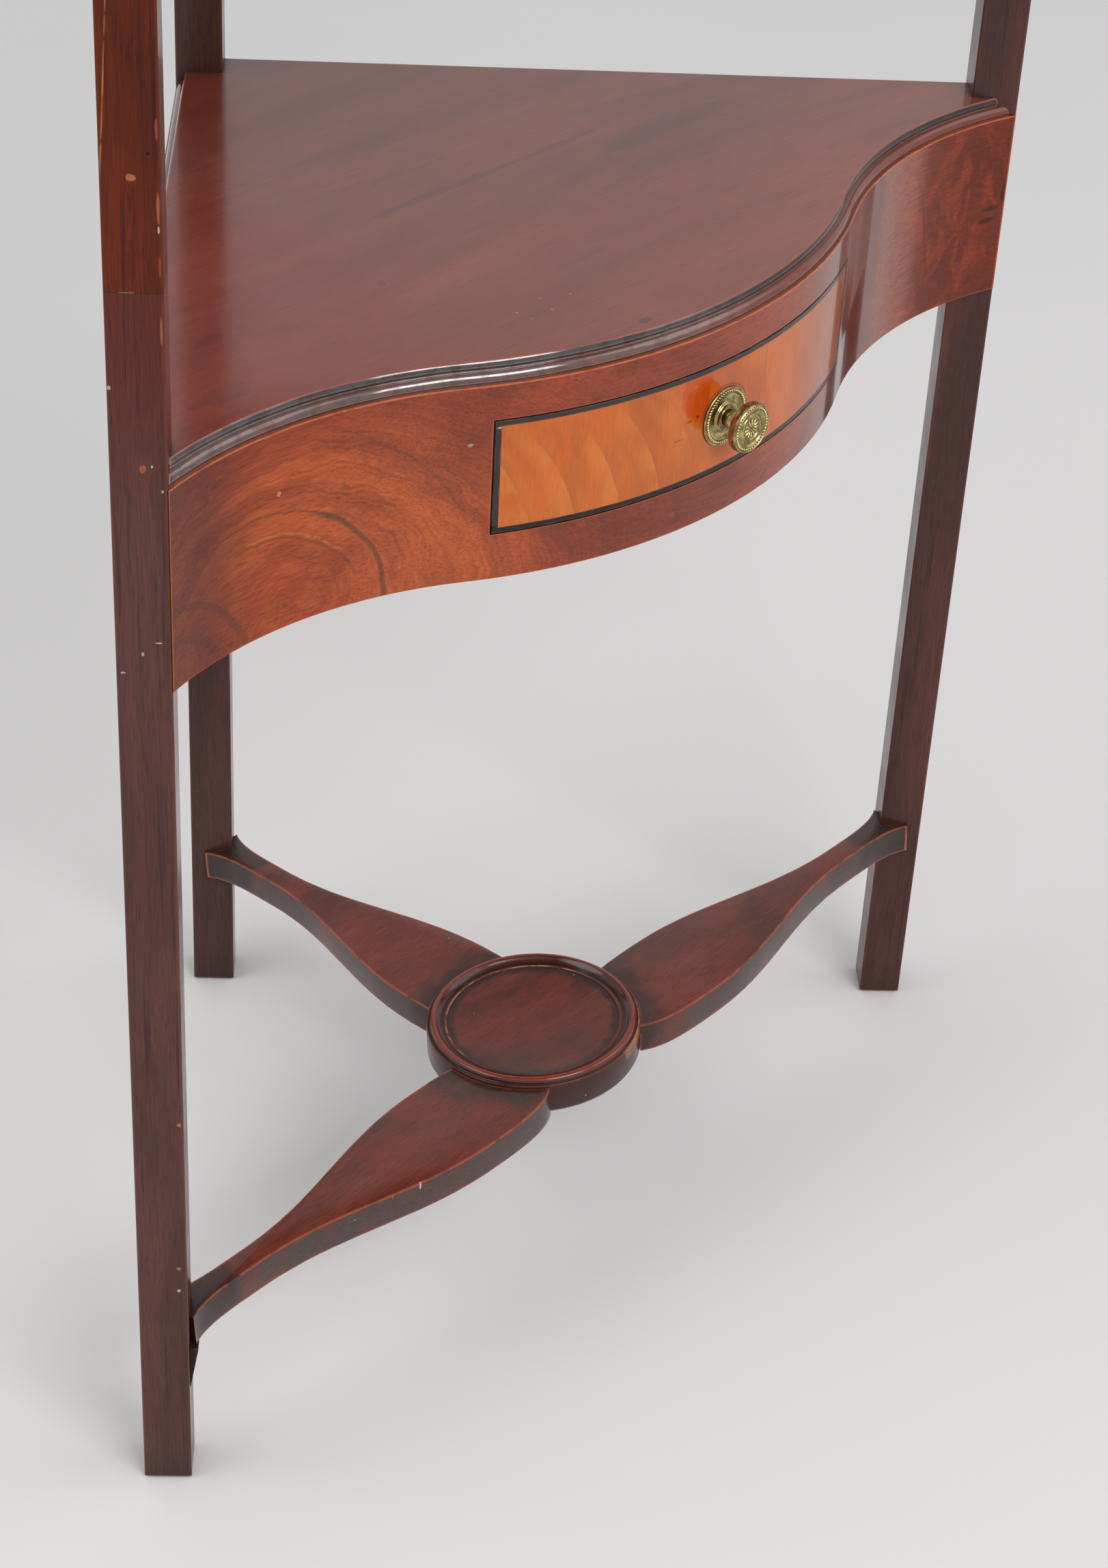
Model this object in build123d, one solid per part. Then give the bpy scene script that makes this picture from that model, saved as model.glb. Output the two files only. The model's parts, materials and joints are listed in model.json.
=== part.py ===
from build123d import *
import math
import os

os.makedirs("parts", exist_ok=True)

# A corner washstand of mahogany: three square legs, a leaf-armed stretcher with a turned dish,
# a moulded shelf over a bow-fronted frieze with one drawer, and a pierced top with a gallery.
# The two walls of the room's corner meet at the back corner of the back leg.
# In plan, a is measured along the left wall, b along the right wall and depth along the line
# that halves the corner; x is measured across that line.

# Plan of the stand
wall_length = 440.0
leg_section = 24.4
bow_depth = 385.4
bow_radius = 268.0
hollow_radius = 206.4

# Height of the shelf above the floor, and what hangs from it or stands on it
shelf_height = 599.0
frieze_depth = 110.0
lower_rail_height = 23.5
splice_rise = 82.0
top_rise = 285.0
top_frieze_depth = 74.0

# Boards and rails
shelf_thickness = 10.0
top_thickness = 12.0
frieze_thickness = 32.0
top_frieze_thickness = 22.0
veneer_thickness = 1.0
rail_thickness = 14.0
tenon_length = 12.0
tenon_thickness = 6.0
tenon_shoulder = 12.0
arris_radius = 1.0
foot_chamfer = 1.6

# Moulded edge of the boards, from the outer edge inwards and from the top downwards
ledge_width = 0.8
bead_radius = 2.0
moulding_width = 7.0
cove_height = 2.2
cove_radius = 1.8
bead_height = 2.4
quarter_flats = 2

# Splice of the left leg
splice_dowel_radius = 5.0
splice_dowel_length = 50.0

# Stretcher: heights of the arms' top where each meets its leg's inner corner
arm_height_back = 100.0
arm_height_left = 106.0
arm_height_right = 129.0
arm_thickness = 18.0
neck_place = 40.0
neck_half_width = 6.8
leaf_place = 188.0
leaf_half_width = 31.0
leaf_end_length = 62.0
prong_reach = 10.0
prong_half_width = 13.0
dish_depth = 285.6
dish_radius = 60.0
rim_width = 12.0
rim_height = 4.1
crest_height = 4.7
dish_foot_chamfer = 2.0
stretcher_dowel_radius = 4.0
stretcher_dowel_length = 30.0
wedge_length = 15.0
wedge_height = 27.0
wedge_thickness = 4.5

# Drawer and its opening
opening_half_width = 125.0
opening_height = 59.5
rail_tongue_length = 8.0
rail_tongue_inset = 4.0
drawer_gap = 0.8
drawer_rear = 176.0
drawer_front_thickness = 18.0
drawer_side_thickness = 8.0
drawer_side_drop = 2.5
drawer_back_drop = 5.5
drawer_bottom_thickness = 5.0
drawer_bottom_rise = 5.0
groove_depth = 3.0
lap_thickness = 5.0
tail_root_width = 12.0
tail_tip_width = 17.0
tail_count = 2
stringing_width = 2.6

# Runners, guides, kickers and stops
runner_gap = 0.3
runner_width = 28.0
runner_height = 13.0
guide_gap = 0.6
guide_height = 14.0
kicker_width = 12.0
kicker_gap = 0.6
stop_gap = 0.3
stop_depth = 10.0
stop_width = 20.0
stop_height = 4.5
stop_place = 70.0

# Glue blocks in the angles under the boards
block_size = 16.0
block_length = 30.0
block_place = 60.0
shelf_block_end_gap = 23.1
shelf_block_spread = 208.0
top_block_end_gap = 2.2
top_block_spread = 138.0

# Brass knob
knob_rise = 29.0
plate_radius = 15.0
plate_thickness = 2.4
knob_reach = 17.6
knob_radius = 12.5
knob_disc_thickness = 5.2
ball_radius = 4.6
neck_radius = 2.7
stem_radius = 2.5
nut_width = 9.0
nut_thickness = 3.5
spot_face_radius = 6.5
spot_face_depth = 0.5

# Pierced top
basin_front_margin = 45.4
basin_wall_margin = 38.98
cup_radius = 30.0
cup_depth = 266.0
cup_spread = 196.0

# Gallery boards on the top
gallery_thickness = 9.0
gallery_height = 200.0
gallery_end_height = 42.0
gallery_end_gap = 6.0

# One overrun serves every cut
overrun = 30.0

root_two = math.sqrt(2.0)
corner_y = (bow_depth + knob_reach) / 2
frieze_foot = shelf_height - frieze_depth
opening_foot = frieze_foot + lower_rail_height
knob_height = opening_foot + knob_rise
splice_height = shelf_height + splice_rise
top_height = shelf_height + top_rise
top_frieze_foot = top_height - top_frieze_depth
shelf_foot = shelf_height - shelf_thickness
shelf_ledge = shelf_height - cove_height - bead_height
top_foot = top_height - top_thickness
top_ledge = top_height - cove_height - bead_height
leg_inner = wall_length - leg_section
basin_depth = (bow_depth - basin_front_margin + basin_wall_margin) / (1 + 1 / root_two)
basin_radius = basin_depth / root_two - basin_wall_margin
opening_head = opening_foot + opening_height
leg_spans = {
    "back": ((0, leg_section), (0, leg_section)),
    "left": ((leg_inner, wall_length), (0, leg_section)),
    "right": ((0, leg_section), (leg_inner, wall_length)),
}


# Places in plan

def plan(a, b, z=0):
    """Point a along the left wall and b along the right wall, at height z."""
    return Vector((b - a) / root_two, corner_y - (a + b) / root_two, z)


def prism(face, z_span):
    return Pos(0, 0, z_span[0]) * extrude(face, z_span[1] - z_span[0])


def corner_box(a_span, b_span, z_span):
    """Box whose sides are parallel to the walls."""
    corners = [(a_span[0], b_span[0]), (a_span[1], b_span[0]), (a_span[1], b_span[1]), (a_span[0], b_span[1])]
    outline = Polyline(*[plan(a, b) for a, b in corners], close=True)
    return prism(make_face(outline), z_span)


def front_box(x_span, depth_span, z_span):
    """Box square to the front: x across, depth measured from the walls' corner."""
    near, far = corner_y - depth_span[1], corner_y - depth_span[0]
    corners = [(x_span[0], near), (x_span[1], near), (x_span[1], far), (x_span[0], far)]
    return prism(make_face(Polyline(*corners, close=True)), z_span)


# The serpentine front: a bow between two hollows, each arc tangent to the next

bow_centre = (0, bow_depth - bow_radius)
front_end = (leg_inner / root_two, (wall_length + leg_section) / root_two)


def hollow_centre():
    """Centre of the right hollow, whose arc touches the bow and ends at the leg's outer arris."""
    across, along = front_end[0] - bow_centre[0], front_end[1] - bow_centre[1]
    span = math.hypot(across, along)
    reach = bow_radius + hollow_radius
    foot = (reach ** 2 - hollow_radius ** 2 + span ** 2) / (2 * span)
    rise = math.sqrt(reach ** 2 - foot ** 2)
    unit = (across / span, along / span)
    return (foot * unit[0] - rise * unit[1], bow_centre[1] + foot * unit[1] + rise * unit[0])


hollow_x, hollow_depth = hollow_centre()
touch_angle = math.atan2(hollow_depth - bow_centre[1], hollow_x)


def front_depth(x, inset):
    """Depth of the front at x, moved back by inset."""
    bow, hollow = bow_radius - inset, hollow_radius + inset
    if abs(x) < bow * math.cos(touch_angle):
        return bow_centre[1] + math.sqrt(bow ** 2 - x ** 2)
    return hollow_depth - math.sqrt(hollow ** 2 - (abs(x) - hollow_x) ** 2)


def front_prism(inset, z_span):
    """Everything behind the serpentine front moved back by inset."""
    touch_x = (bow_radius - inset) * math.cos(touch_angle)
    far_x = wall_length / root_two + overrun
    middle_x = (touch_x + far_x) / 2

    def at(x):
        return (x, corner_y - front_depth(x, inset))

    edges = [
        ThreePointArc(at(-far_x), at(-middle_x), at(-touch_x)),
        ThreePointArc(at(-touch_x), at(0), at(touch_x)),
        ThreePointArc(at(touch_x), at(middle_x), at(far_x)),
        Polyline(at(far_x), (far_x, corner_y + overrun), (-far_x, corner_y + overrun), at(-far_x)),
    ]
    return prism(make_face(edges), z_span)


def band(outer_inset, inner_inset, z_span):
    """Curved wall between two insets of the front, from leg to leg."""
    between_legs = corner_box((leg_section, wall_length), (leg_section, wall_length), z_span)
    return (front_prism(outer_inset, z_span) - front_prism(inner_inset, z_span)) & between_legs


def inside(front_inset, wall_inset, z_span):
    """Space behind the front and inside the wall rails."""
    square = corner_box((wall_inset, wall_length), (wall_inset, wall_length), z_span)
    return front_prism(front_inset, z_span) & square


# Legs

def leg(name, z_span, standing):
    post = corner_box(*leg_spans[name], z_span)
    if standing:
        post = chamfer(post.edges().group_by(Axis.Z)[0], foot_chamfer)
    return fillet(post.edges().filter_by(Axis.Z), arris_radius)


def wall_rail(side, z_span):
    """Rail between two legs, flush with their outer faces, with a tenon at each end."""
    tenon_inset = (rail_thickness - tenon_thickness) / 2
    tenon_z = (z_span[0] + tenon_shoulder, z_span[1] - tenon_shoulder)
    run = (leg_section, leg_inner)
    tenon_run = (leg_section - tenon_length, leg_inner + tenon_length)
    depth = (0, rail_thickness)
    tenon_depth = (tenon_inset, tenon_inset + tenon_thickness)
    if side == "left":
        return corner_box(run, depth, z_span) + corner_box(tenon_run, tenon_depth, tenon_z)
    return corner_box(depth, run, z_span) + corner_box(tenon_depth, tenon_run, tenon_z)


def legs_and_rails():
    rails = {
        "rail_left": wall_rail("left", (frieze_foot, shelf_foot)),
        "rail_right": wall_rail("right", (frieze_foot, shelf_foot)),
        "top_rail_left": wall_rail("left", (top_frieze_foot, top_foot)),
        "top_rail_right": wall_rail("right", (top_frieze_foot, top_foot)),
    }
    centre = plan(*[sum(span) / 2 for span in leg_spans["left"]], splice_height)
    dowel = Pos(centre) * Cylinder(splice_dowel_radius, splice_dowel_length)
    legs = {
        "leg_back": leg("back", (0, top_foot), True),
        "leg_right": leg("right", (0, top_foot), True),
        "leg_left_lower": leg("left", (0, splice_height), True),
        "leg_left_upper": leg("left", (splice_height, top_foot), False),
    }
    for name in legs:
        for rail in rails.values():
            legs[name] = legs[name] - rail
        legs[name] = legs[name] - dowel
    return {**legs, **rails, "leg_splice_dowel": dowel}


# Boards with a moulded edge: a ledge, a bead, a flat and a cove below the flat top

def meets_front(slope, rise, inset):
    """Where the right hollow, moved back by inset, crosses the line depth = slope * x + rise."""
    half = (hollow_x - slope * (rise - hollow_depth)) / 2
    rest = (hollow_x ** 2 + (rise - hollow_depth) ** 2 - (hollow_radius + inset) ** 2) / 2
    spread = math.sqrt(half ** 2 - rest)
    return min((half - spread, half + spread), key=lambda x: abs(x - front_end[0]))


def board_outline(inset, z, on_shelf):
    """Plan of a board: notched for the legs and moulded all round, or whole and moulded in front only."""
    front_inset = veneer_thickness + inset
    if on_shelf:
        end_x = meets_front(1, leg_section * root_two, front_inset)
        corners = [
            (leg_inner, leg_section), (leg_inner, inset), (leg_section, inset), (leg_section, leg_section),
            (inset, leg_section), (inset, leg_inner), (leg_section, leg_inner),
        ]
    else:
        end_x = meets_front(-1, wall_length * root_two, front_inset)
        corners = [(wall_length, 0), (0, 0), (0, wall_length)]
    touch_x = (bow_radius - front_inset) * math.cos(touch_angle)
    middle_x = (touch_x + end_x) / 2

    def at(x):
        return (x, corner_y - front_depth(x, front_inset), z)

    edges = [
        Polyline(at(-end_x), *[plan(a, b, z) for a, b in corners], at(end_x)),
        ThreePointArc(at(end_x), at(middle_x), at(touch_x)),
        ThreePointArc(at(touch_x), at(0), at(-touch_x)),
        ThreePointArc(at(-touch_x), at(-middle_x), at(-end_x)),
    ]
    return make_face(edges)


def quarter_points(centre, radius, start_degrees):
    """Points that divide a quarter circle, turning anticlockwise, into equal flats."""
    steps = [start_degrees + 90 * step / quarter_flats for step in range(quarter_flats + 1)]
    angles = [math.radians(step) for step in steps]
    return [(centre[0] + radius * math.cos(angle), centre[1] + radius * math.sin(angle)) for angle in angles]


def moulded_board(height, thickness, on_shelf):
    """Board built up from its foot, its bead and its crown, each ruled through its own outlines."""
    ledge, flat = height - cove_height - bead_height, height - cove_height
    foot = [(0, height - thickness), (0, ledge)]
    bead_turn = quarter_points((-ledge_width - bead_radius, flat - bead_radius), bead_radius, 0)
    bead = [(ledge_width, ledge), *[(-inset, z) for inset, z in bead_turn]]
    cove_turn = quarter_points((moulding_width - cove_radius, flat + cove_radius), cove_radius, -90)
    crown = [*cove_turn, (moulding_width, height)]
    layers = [foot, bead, crown]
    solids = [loft([board_outline(inset, z, on_shelf) for inset, z in layer], ruled=True) for layer in layers]
    return solids[0] + solids[1] + solids[2]


def shelf():
    return {"shelf_board": moulded_board(shelf_height, shelf_thickness, True)}


def hole(x, depth, radius, z_span):
    return Pos(x, corner_y - depth, (z_span[0] + z_span[1]) / 2) * Cylinder(radius, z_span[1] - z_span[0])


def pierced_top():
    board = moulded_board(top_height, top_thickness, False)
    through = (top_foot - overrun, top_height + overrun)
    board = board - hole(0, basin_depth, basin_radius, through)
    for x in (-cup_spread, cup_spread):
        board = board - hole(x, cup_depth, cup_radius, through)
    frieze = band(veneer_thickness, top_frieze_thickness, (top_frieze_foot, top_foot))
    veneer = band(0, veneer_thickness, (top_frieze_foot, top_ledge))
    return {"top_board": board, "top_frieze": frieze, "top_frieze_veneer": veneer}


def gallery_board(wall):
    """Board standing on the top along one wall, its upper edge an ogee that falls to the front."""
    start = 0 if wall == "left" else gallery_thickness
    end = wall_length - gallery_end_gap

    def at(run, rise):
        return plan(run, 0, top_height + rise) if wall == "left" else plan(0, run, top_height + rise)

    back_along = (at(start, 0) - at(end, 0)).normalized()
    sweep_edge = Spline(at(end, gallery_end_height), at(start, gallery_height), tangents=(back_along, back_along))
    sides = Polyline(at(start, gallery_height), at(start, 0), at(end, 0), at(end, gallery_end_height))
    inward = plan(0, 1) - plan(0, 0) if wall == "left" else plan(1, 0) - plan(0, 0)
    return extrude(make_face([sweep_edge, sides]), gallery_thickness, dir=inward)


# Frieze of the shelf, with the drawer's opening

def across(half_width, z_span):
    return front_box((-half_width, half_width), (0, bow_depth + overrun), z_span)


def frieze():
    full = (frieze_foot, shelf_foot)
    opening = across(opening_half_width, (opening_foot, opening_head))
    core = band(veneer_thickness, frieze_thickness, full)

    def cross_rail(z_span):
        rail = core & across(opening_half_width, z_span)
        tongue_z = (z_span[0] + rail_tongue_inset, z_span[1] - rail_tongue_inset)
        tongue = band(veneer_thickness + rail_tongue_inset, frieze_thickness - rail_tongue_inset, tongue_z)
        return rail + (tongue & across(opening_half_width + rail_tongue_length, tongue_z))

    lower = cross_rail((frieze_foot, opening_foot))
    upper = cross_rail((opening_head, shelf_foot))
    ends = core - across(opening_half_width, full) - lower - upper
    left, right = ends.solids().sort_by(Axis.X)
    veneer = band(0, veneer_thickness, (frieze_foot, shelf_ledge)) - opening
    return {
        "frieze_left": left,
        "frieze_right": right,
        "frieze_rail_lower": lower,
        "frieze_rail_upper": upper,
        "frieze_veneer": veneer,
    }


# Stretcher: three leaf-shaped arms and a turned dish in one plane, which leans a little

def leg_corner(name, height):
    """Inner corner of a leg at a height."""
    a_span, b_span = leg_spans[name]
    a = a_span[0] if name == "left" else a_span[1]
    b = b_span[0] if name == "right" else b_span[1]
    return plan(a, b, height)


arm_roots = {
    "back": leg_corner("back", arm_height_back),
    "left": leg_corner("left", arm_height_left),
    "right": leg_corner("right", arm_height_right),
}


def stretcher_plane():
    """Plane through the arms' roots, with its origin under the dish."""
    across_dir = arm_roots["right"] - arm_roots["left"]
    normal = across_dir.cross(arm_roots["back"] - arm_roots["left"]).normalized()
    centre = Vector(0, corner_y - dish_depth, 0)
    rise = (arm_roots["left"] - centre).dot(normal) / normal.Z
    return Plane(origin=centre + Vector(0, 0, rise), x_dir=across_dir, z_dir=normal)


stretcher = stretcher_plane()


def arm_outline():
    """Leaf outline along +X from the leg's corner at the origin, with a flared end for the notch."""
    leaf_end = leaf_place + leaf_end_length

    def side(sign):
        prong, neck = (-prong_reach, sign * prong_half_width), (neck_place, sign * neck_half_width)
        widest, tip = (leaf_place, sign * leaf_half_width), (leaf_end, 0)
        flare = (prong_reach, sign * (neck_half_width - prong_half_width))
        return [
            Spline(prong, neck, tangents=(flare, (1, 0))),
            Spline(neck, widest, tangents=((1, 0), (1, 0))),
            Spline(widest, tip, tangents=((1, 0), (0, -sign))),
        ]

    end = Line((-prong_reach, -prong_half_width), (-prong_reach, prong_half_width))
    return make_face([*side(1), *side(-1), end])


def arm_frame(name):
    """Root of an arm in the stretcher's plane and the angle at which it runs."""
    root = stretcher.to_local_coords(arm_roots[name])
    if name == "back":
        return root, math.degrees(math.atan2(-root.Y, -root.X))
    return root, 0 if name == "left" else 180


def dish_profile():
    """Half section of the dish, radius across and height along, seen from the arms' top."""
    floor = crest_height - rim_height
    foot = -arm_thickness

    def rim(width_share, height_share):
        return (dish_radius - width_share * rim_width, floor + height_share * rim_height)

    outline = [
        (0, floor), rim(1, 0), rim(0.66, 0.3), rim(0.42, 1), rim(0.22, 0.94), rim(0.12, 0.14), rim(0, 0),
        (dish_radius, foot + dish_foot_chamfer), (dish_radius - dish_foot_chamfer, foot), (0, foot),
    ]
    return make_face(Polyline(*outline, close=True))


def stretcher_parts():
    dish = stretcher.location * revolve(Plane.XZ.location * dish_profile(), Axis.Z)
    seat_height = arm_thickness + 2 * overrun
    seat = stretcher.location * Cylinder(dish_radius, seat_height)
    pieces, dowels = {}, []
    for name in arm_roots:
        root, angle = arm_frame(name)
        place = stretcher.location * Pos(root.X, root.Y, 0) * Rot(0, 0, angle)
        arm = place * extrude(arm_outline(), -arm_thickness)
        arm = arm - corner_box(*leg_spans[name], (0, frieze_foot)) - seat
        edge_distance = math.sqrt(dish_radius ** 2 - root.Y ** 2) if name != "back" else dish_radius
        reach = math.hypot(root.X, root.Y) if name == "back" else abs(root.X)
        middle = Pos(reach - edge_distance, 0, -arm_thickness / 2) * Rot(0, 90, 0)
        dowel = place * middle * Cylinder(stretcher_dowel_radius, stretcher_dowel_length)
        pieces["stretcher_arm_" + name] = arm - dowel
        dish = dish - dowel
        dowels.append(dowel)
    pieces["stretcher_dish"] = dish
    pieces["stretcher_dowels"] = Compound(children=[dowel.solid() for dowel in dowels])
    pieces["stretcher_wedge"] = wedge()
    return pieces


def wedge():
    """Glued wedge on the left leg's inner face, under the arm's prong."""
    start = wall_length - (leg_section + wedge_length) / 2
    high = arm_height_left
    low = arm_height_left - arm_thickness - wedge_height
    section = Polyline(
        plan(start, leg_section, high),
        plan(start, leg_section + wedge_thickness, high - arm_thickness),
        plan(start, leg_section, low),
        close=True,
    )
    body = extrude(make_face(section), wedge_length, dir=plan(1, 0) - plan(0, 0))
    above = stretcher.location * Pos(0, 0, -arm_thickness) * Box(
        2 * wall_length, 2 * wall_length, 2 * wall_length, align=(Align.CENTER, Align.CENTER, Align.MIN)
    )
    return body - above


# Drawer

drawer_foot = opening_foot + drawer_gap
drawer_head = opening_head - drawer_gap
drawer_half_width = opening_half_width - drawer_gap
side_head = drawer_head - drawer_side_drop
side_inner = drawer_half_width - drawer_side_thickness
bottom_foot = drawer_foot + drawer_bottom_rise
bottom_head = bottom_foot + drawer_bottom_thickness


def tails(root_depth, tip_depth, z_span):
    """Dovetail tails through a side, narrow at the root and wide at the tip."""
    pitch = (z_span[1] - z_span[0]) / tail_count
    spread = (tail_tip_width - tail_root_width) / 2
    over = overrun if tip_depth > root_depth else -overrun
    flare = spread * overrun / abs(tip_depth - root_depth)
    group = None
    for index in range(tail_count):
        centre = z_span[0] + pitch * (index + 0.5)
        root_half, tip_half = tail_root_width / 2, tail_root_width / 2 + spread + flare
        section = Polyline(
            Vector(0, corner_y - root_depth, centre - root_half),
            Vector(0, corner_y - tip_depth - over, centre - tip_half),
            Vector(0, corner_y - tip_depth - over, centre + tip_half),
            Vector(0, corner_y - root_depth, centre + root_half),
            close=True,
        )
        tail = extrude(make_face(section), wall_length, dir=(1, 0, 0), both=True)
        group = tail if group is None else group + tail
    return group


def drawer_box():
    tall = (drawer_foot, drawer_head)
    front = band(veneer_thickness, drawer_front_thickness, tall) & across(drawer_half_width, tall)
    bottom_z = (bottom_foot, bottom_head)
    bottom = front_prism(drawer_front_thickness - groove_depth, bottom_z) & front_box(
        (-side_inner - groove_depth, side_inner + groove_depth), (drawer_rear, bow_depth), bottom_z
    )
    back_z = (bottom_head, drawer_head - drawer_back_drop)
    back_front = drawer_rear + drawer_side_thickness
    back = front_box((-drawer_half_width, drawer_half_width), (drawer_rear, back_front), back_z)

    root_depth = front_depth(drawer_half_width, drawer_front_thickness)
    tip_depth = front_depth(side_inner, veneer_thickness + lap_thickness)
    front_tails = tails(root_depth, tip_depth, (drawer_foot, side_head))
    back_tails = tails(back_front, drawer_rear, back_z)
    sides = {}
    for name, start in (("left", -drawer_half_width), ("right", side_inner)):
        z_span = (drawer_foot, side_head)
        blank = front_box((start, start + drawer_side_thickness), (drawer_rear, bow_depth), z_span)
        blank = blank & front_prism(veneer_thickness + lap_thickness, z_span)
        side = blank - ((blank & front) - front_tails)
        side = side - ((side & back) - back_tails)
        sides["drawer_side_" + name] = side - bottom
    front, back = front - bottom, back
    for side in sides.values():
        front = front - side
        back = back - side
    return {"drawer_front": front, "drawer_back": back, "drawer_bottom": bottom, **sides}


def drawer_face():
    """Veneer of the drawer's front and the stringing let in round it."""
    tall = (drawer_foot, drawer_head)
    skin = band(0, veneer_thickness, tall)
    window_z = (drawer_foot + stringing_width, drawer_head - stringing_width)
    window = across(drawer_half_width - stringing_width, window_z)
    whole = skin & across(drawer_half_width, tall)
    return {"drawer_front_veneer": whole & window, "drawer_stringing": whole - window}


# Knob: profiles are drawn with the radius across and the distance out from the drawer's face along

def turned(profile):
    """Turns a half section about the knob's axis."""
    place = Pos(0, corner_y - bow_depth, knob_height) * Rot(90, 0, 0)
    return place * revolve(Plane.XZ.location * profile, Axis.Z)


ball_middle = plate_thickness + ball_radius / 2


def ball_point(degrees):
    """Point of the ball at the knob's neck, counted from its widest place outwards."""
    angle = math.radians(degrees)
    return (ball_radius * math.cos(angle), ball_middle + ball_radius * math.sin(angle))


lowest = -math.degrees(math.acos(stem_radius / ball_radius))


def knob_profile():
    stem_end = -drawer_front_thickness - nut_thickness
    highest = math.degrees(math.acos(neck_radius / ball_radius))

    def disc(radius_share, sink_share):
        return (radius_share * knob_radius, knob_reach - sink_share * knob_disc_thickness)

    outline = [
        (0, stem_end), (stem_radius, stem_end), ball_point(lowest), ball_point(0), ball_point(highest),
        (neck_radius, knob_reach - knob_disc_thickness), disc(1, 1), disc(1, 0), disc(0.82, 0), disc(0.82, 0.16),
        disc(0, 0.16),
    ]
    return make_face(Polyline(*outline, close=True))


def plate_profile():
    def at(radius_share, height_share):
        return (radius_share * plate_radius, height_share * plate_thickness)

    lip_share = 1
    lip_radius = math.sqrt(ball_radius ** 2 - (ball_middle - lip_share * plate_thickness) ** 2)
    outline = [
        (stem_radius, 0), at(1, 0), at(1, 0.7), at(0.84, 0.7), at(0.84, 0.34), at(0.54, 0.34), at(0.54, lip_share),
        (lip_radius, lip_share * plate_thickness), ball_point(lowest),
    ]
    return make_face(Polyline(*outline, close=True))


def knob_parts():
    knob = turned(knob_profile())
    plate = turned(plate_profile())
    inner_y = corner_y - bow_depth + drawer_front_thickness
    nut_place = Pos(0, inner_y - spot_face_depth, knob_height) * Rot(-90, 0, 0)
    nut = nut_place * extrude(RegularPolygon(nut_width / 2, 6, major_radius=False), nut_thickness)
    stem_space = Pos(0, corner_y - bow_depth, knob_height) * Rot(90, 0, 0) * Cylinder(stem_radius, 4 * knob_reach)
    seat = Pos(0, inner_y - spot_face_depth, knob_height) * Rot(-90, 0, 0) * Cylinder(
        spot_face_radius, overrun, align=(Align.CENTER, Align.CENTER, Align.MIN)
    )
    return {"knob_backplate": plate, "knob": knob, "knob_nut": nut - stem_space}, stem_space, seat


# Runners, guides, kickers and stops

def drawer_supports():
    pieces = {}
    runner_top = drawer_foot - runner_gap
    guide_inner = drawer_half_width + guide_gap
    guide_outer = guide_inner + drawer_side_thickness + ledge_width
    runner_inner = guide_outer - runner_width
    kicker_foot = side_head + kicker_gap
    for name, sign in (("left", -1), ("right", 1)):
        def strip(inner, outer, z_span):
            x_span = sorted((sign * inner, sign * outer))
            space = inside(frieze_thickness, rail_thickness, z_span)
            return space & front_box(x_span, (0, bow_depth), z_span)

        pieces["drawer_runner_" + name] = strip(runner_inner, guide_outer, (runner_top - runner_height, runner_top))
        pieces["drawer_guide_" + name] = strip(guide_inner, guide_outer, (runner_top, runner_top + guide_height))
        kicker_outer = drawer_half_width
        kicker_z = (kicker_foot, shelf_foot)
        pieces["drawer_kicker_" + name] = strip(kicker_outer - kicker_width, kicker_outer, kicker_z)
    stop_z = (opening_foot, opening_foot + stop_height)
    stop_inset = drawer_front_thickness + stop_gap
    stop_band = band(stop_inset, stop_inset + stop_depth, stop_z)
    stops = []
    for x in (-stop_place, stop_place):
        x_span = (x - stop_width / 2, x + stop_width / 2)
        stops.append((stop_band & front_box(x_span, (0, bow_depth), stop_z)).solid())
    pieces["drawer_stops"] = Compound(children=stops)
    return pieces


# Glue blocks

def wall_block(wall, place, head):
    """Three-sided block in the angle between a wall rail and the board above it."""
    def at(run, off, z):
        return plan(run, off, z) if wall == "left" else plan(off, run, z)

    section = Polyline(
        at(place, rail_thickness, head),
        at(place, rail_thickness + block_size, head),
        at(place, rail_thickness, head - block_size),
        close=True,
    )
    along = at(1, 0, 0) - at(0, 0, 0)
    return extrude(make_face(section), block_length, dir=along)


def glue_blocks(head, frieze_inset, end_gap, spread):
    """Blocks along both wall rails and two behind the frieze, under one board."""
    blocks = []
    block_edge = rail_thickness + block_size
    frieze_meets = root_two * meets_front(1, block_edge * root_two, frieze_inset) + block_edge
    for wall in ("left", "right"):
        for place in (block_place, frieze_meets - end_gap - block_length):
            blocks.append(wall_block(wall, place, head).solid())
    z_span = (head - block_size, head)
    for x in (-spread, spread):
        x_span = (x - block_length / 2, x + block_length / 2)
        back = front_depth(x, frieze_inset) - block_size
        space = inside(frieze_inset, rail_thickness, z_span)
        blocks.append((space & front_box(x_span, (back, bow_depth), z_span)).solid())
    return Compound(children=blocks)


def build():
    pieces = {}
    pieces.update(legs_and_rails())
    pieces.update(shelf())
    pieces.update(frieze())
    pieces.update(stretcher_parts())
    pieces.update(drawer_box())
    pieces.update(drawer_face())
    pieces.update(drawer_supports())
    knob, stem_space, seat = knob_parts()
    pieces["drawer_front"] = pieces["drawer_front"] - stem_space - seat
    pieces["drawer_front_veneer"] = pieces["drawer_front_veneer"] - stem_space
    pieces.update(knob)
    pieces.update(pierced_top())
    pieces["gallery_left"] = gallery_board("left")
    pieces["gallery_right"] = gallery_board("right")
    pieces["shelf_glue_blocks"] = glue_blocks(
        shelf_foot, frieze_thickness, shelf_block_end_gap, shelf_block_spread
    )
    pieces["top_glue_blocks"] = glue_blocks(
        top_foot, top_frieze_thickness, top_block_end_gap, top_block_spread
    )
    return pieces


for name, piece in build().items():
    export_step(piece, "parts/" + name + ".step")
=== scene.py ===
import json
import math

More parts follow.
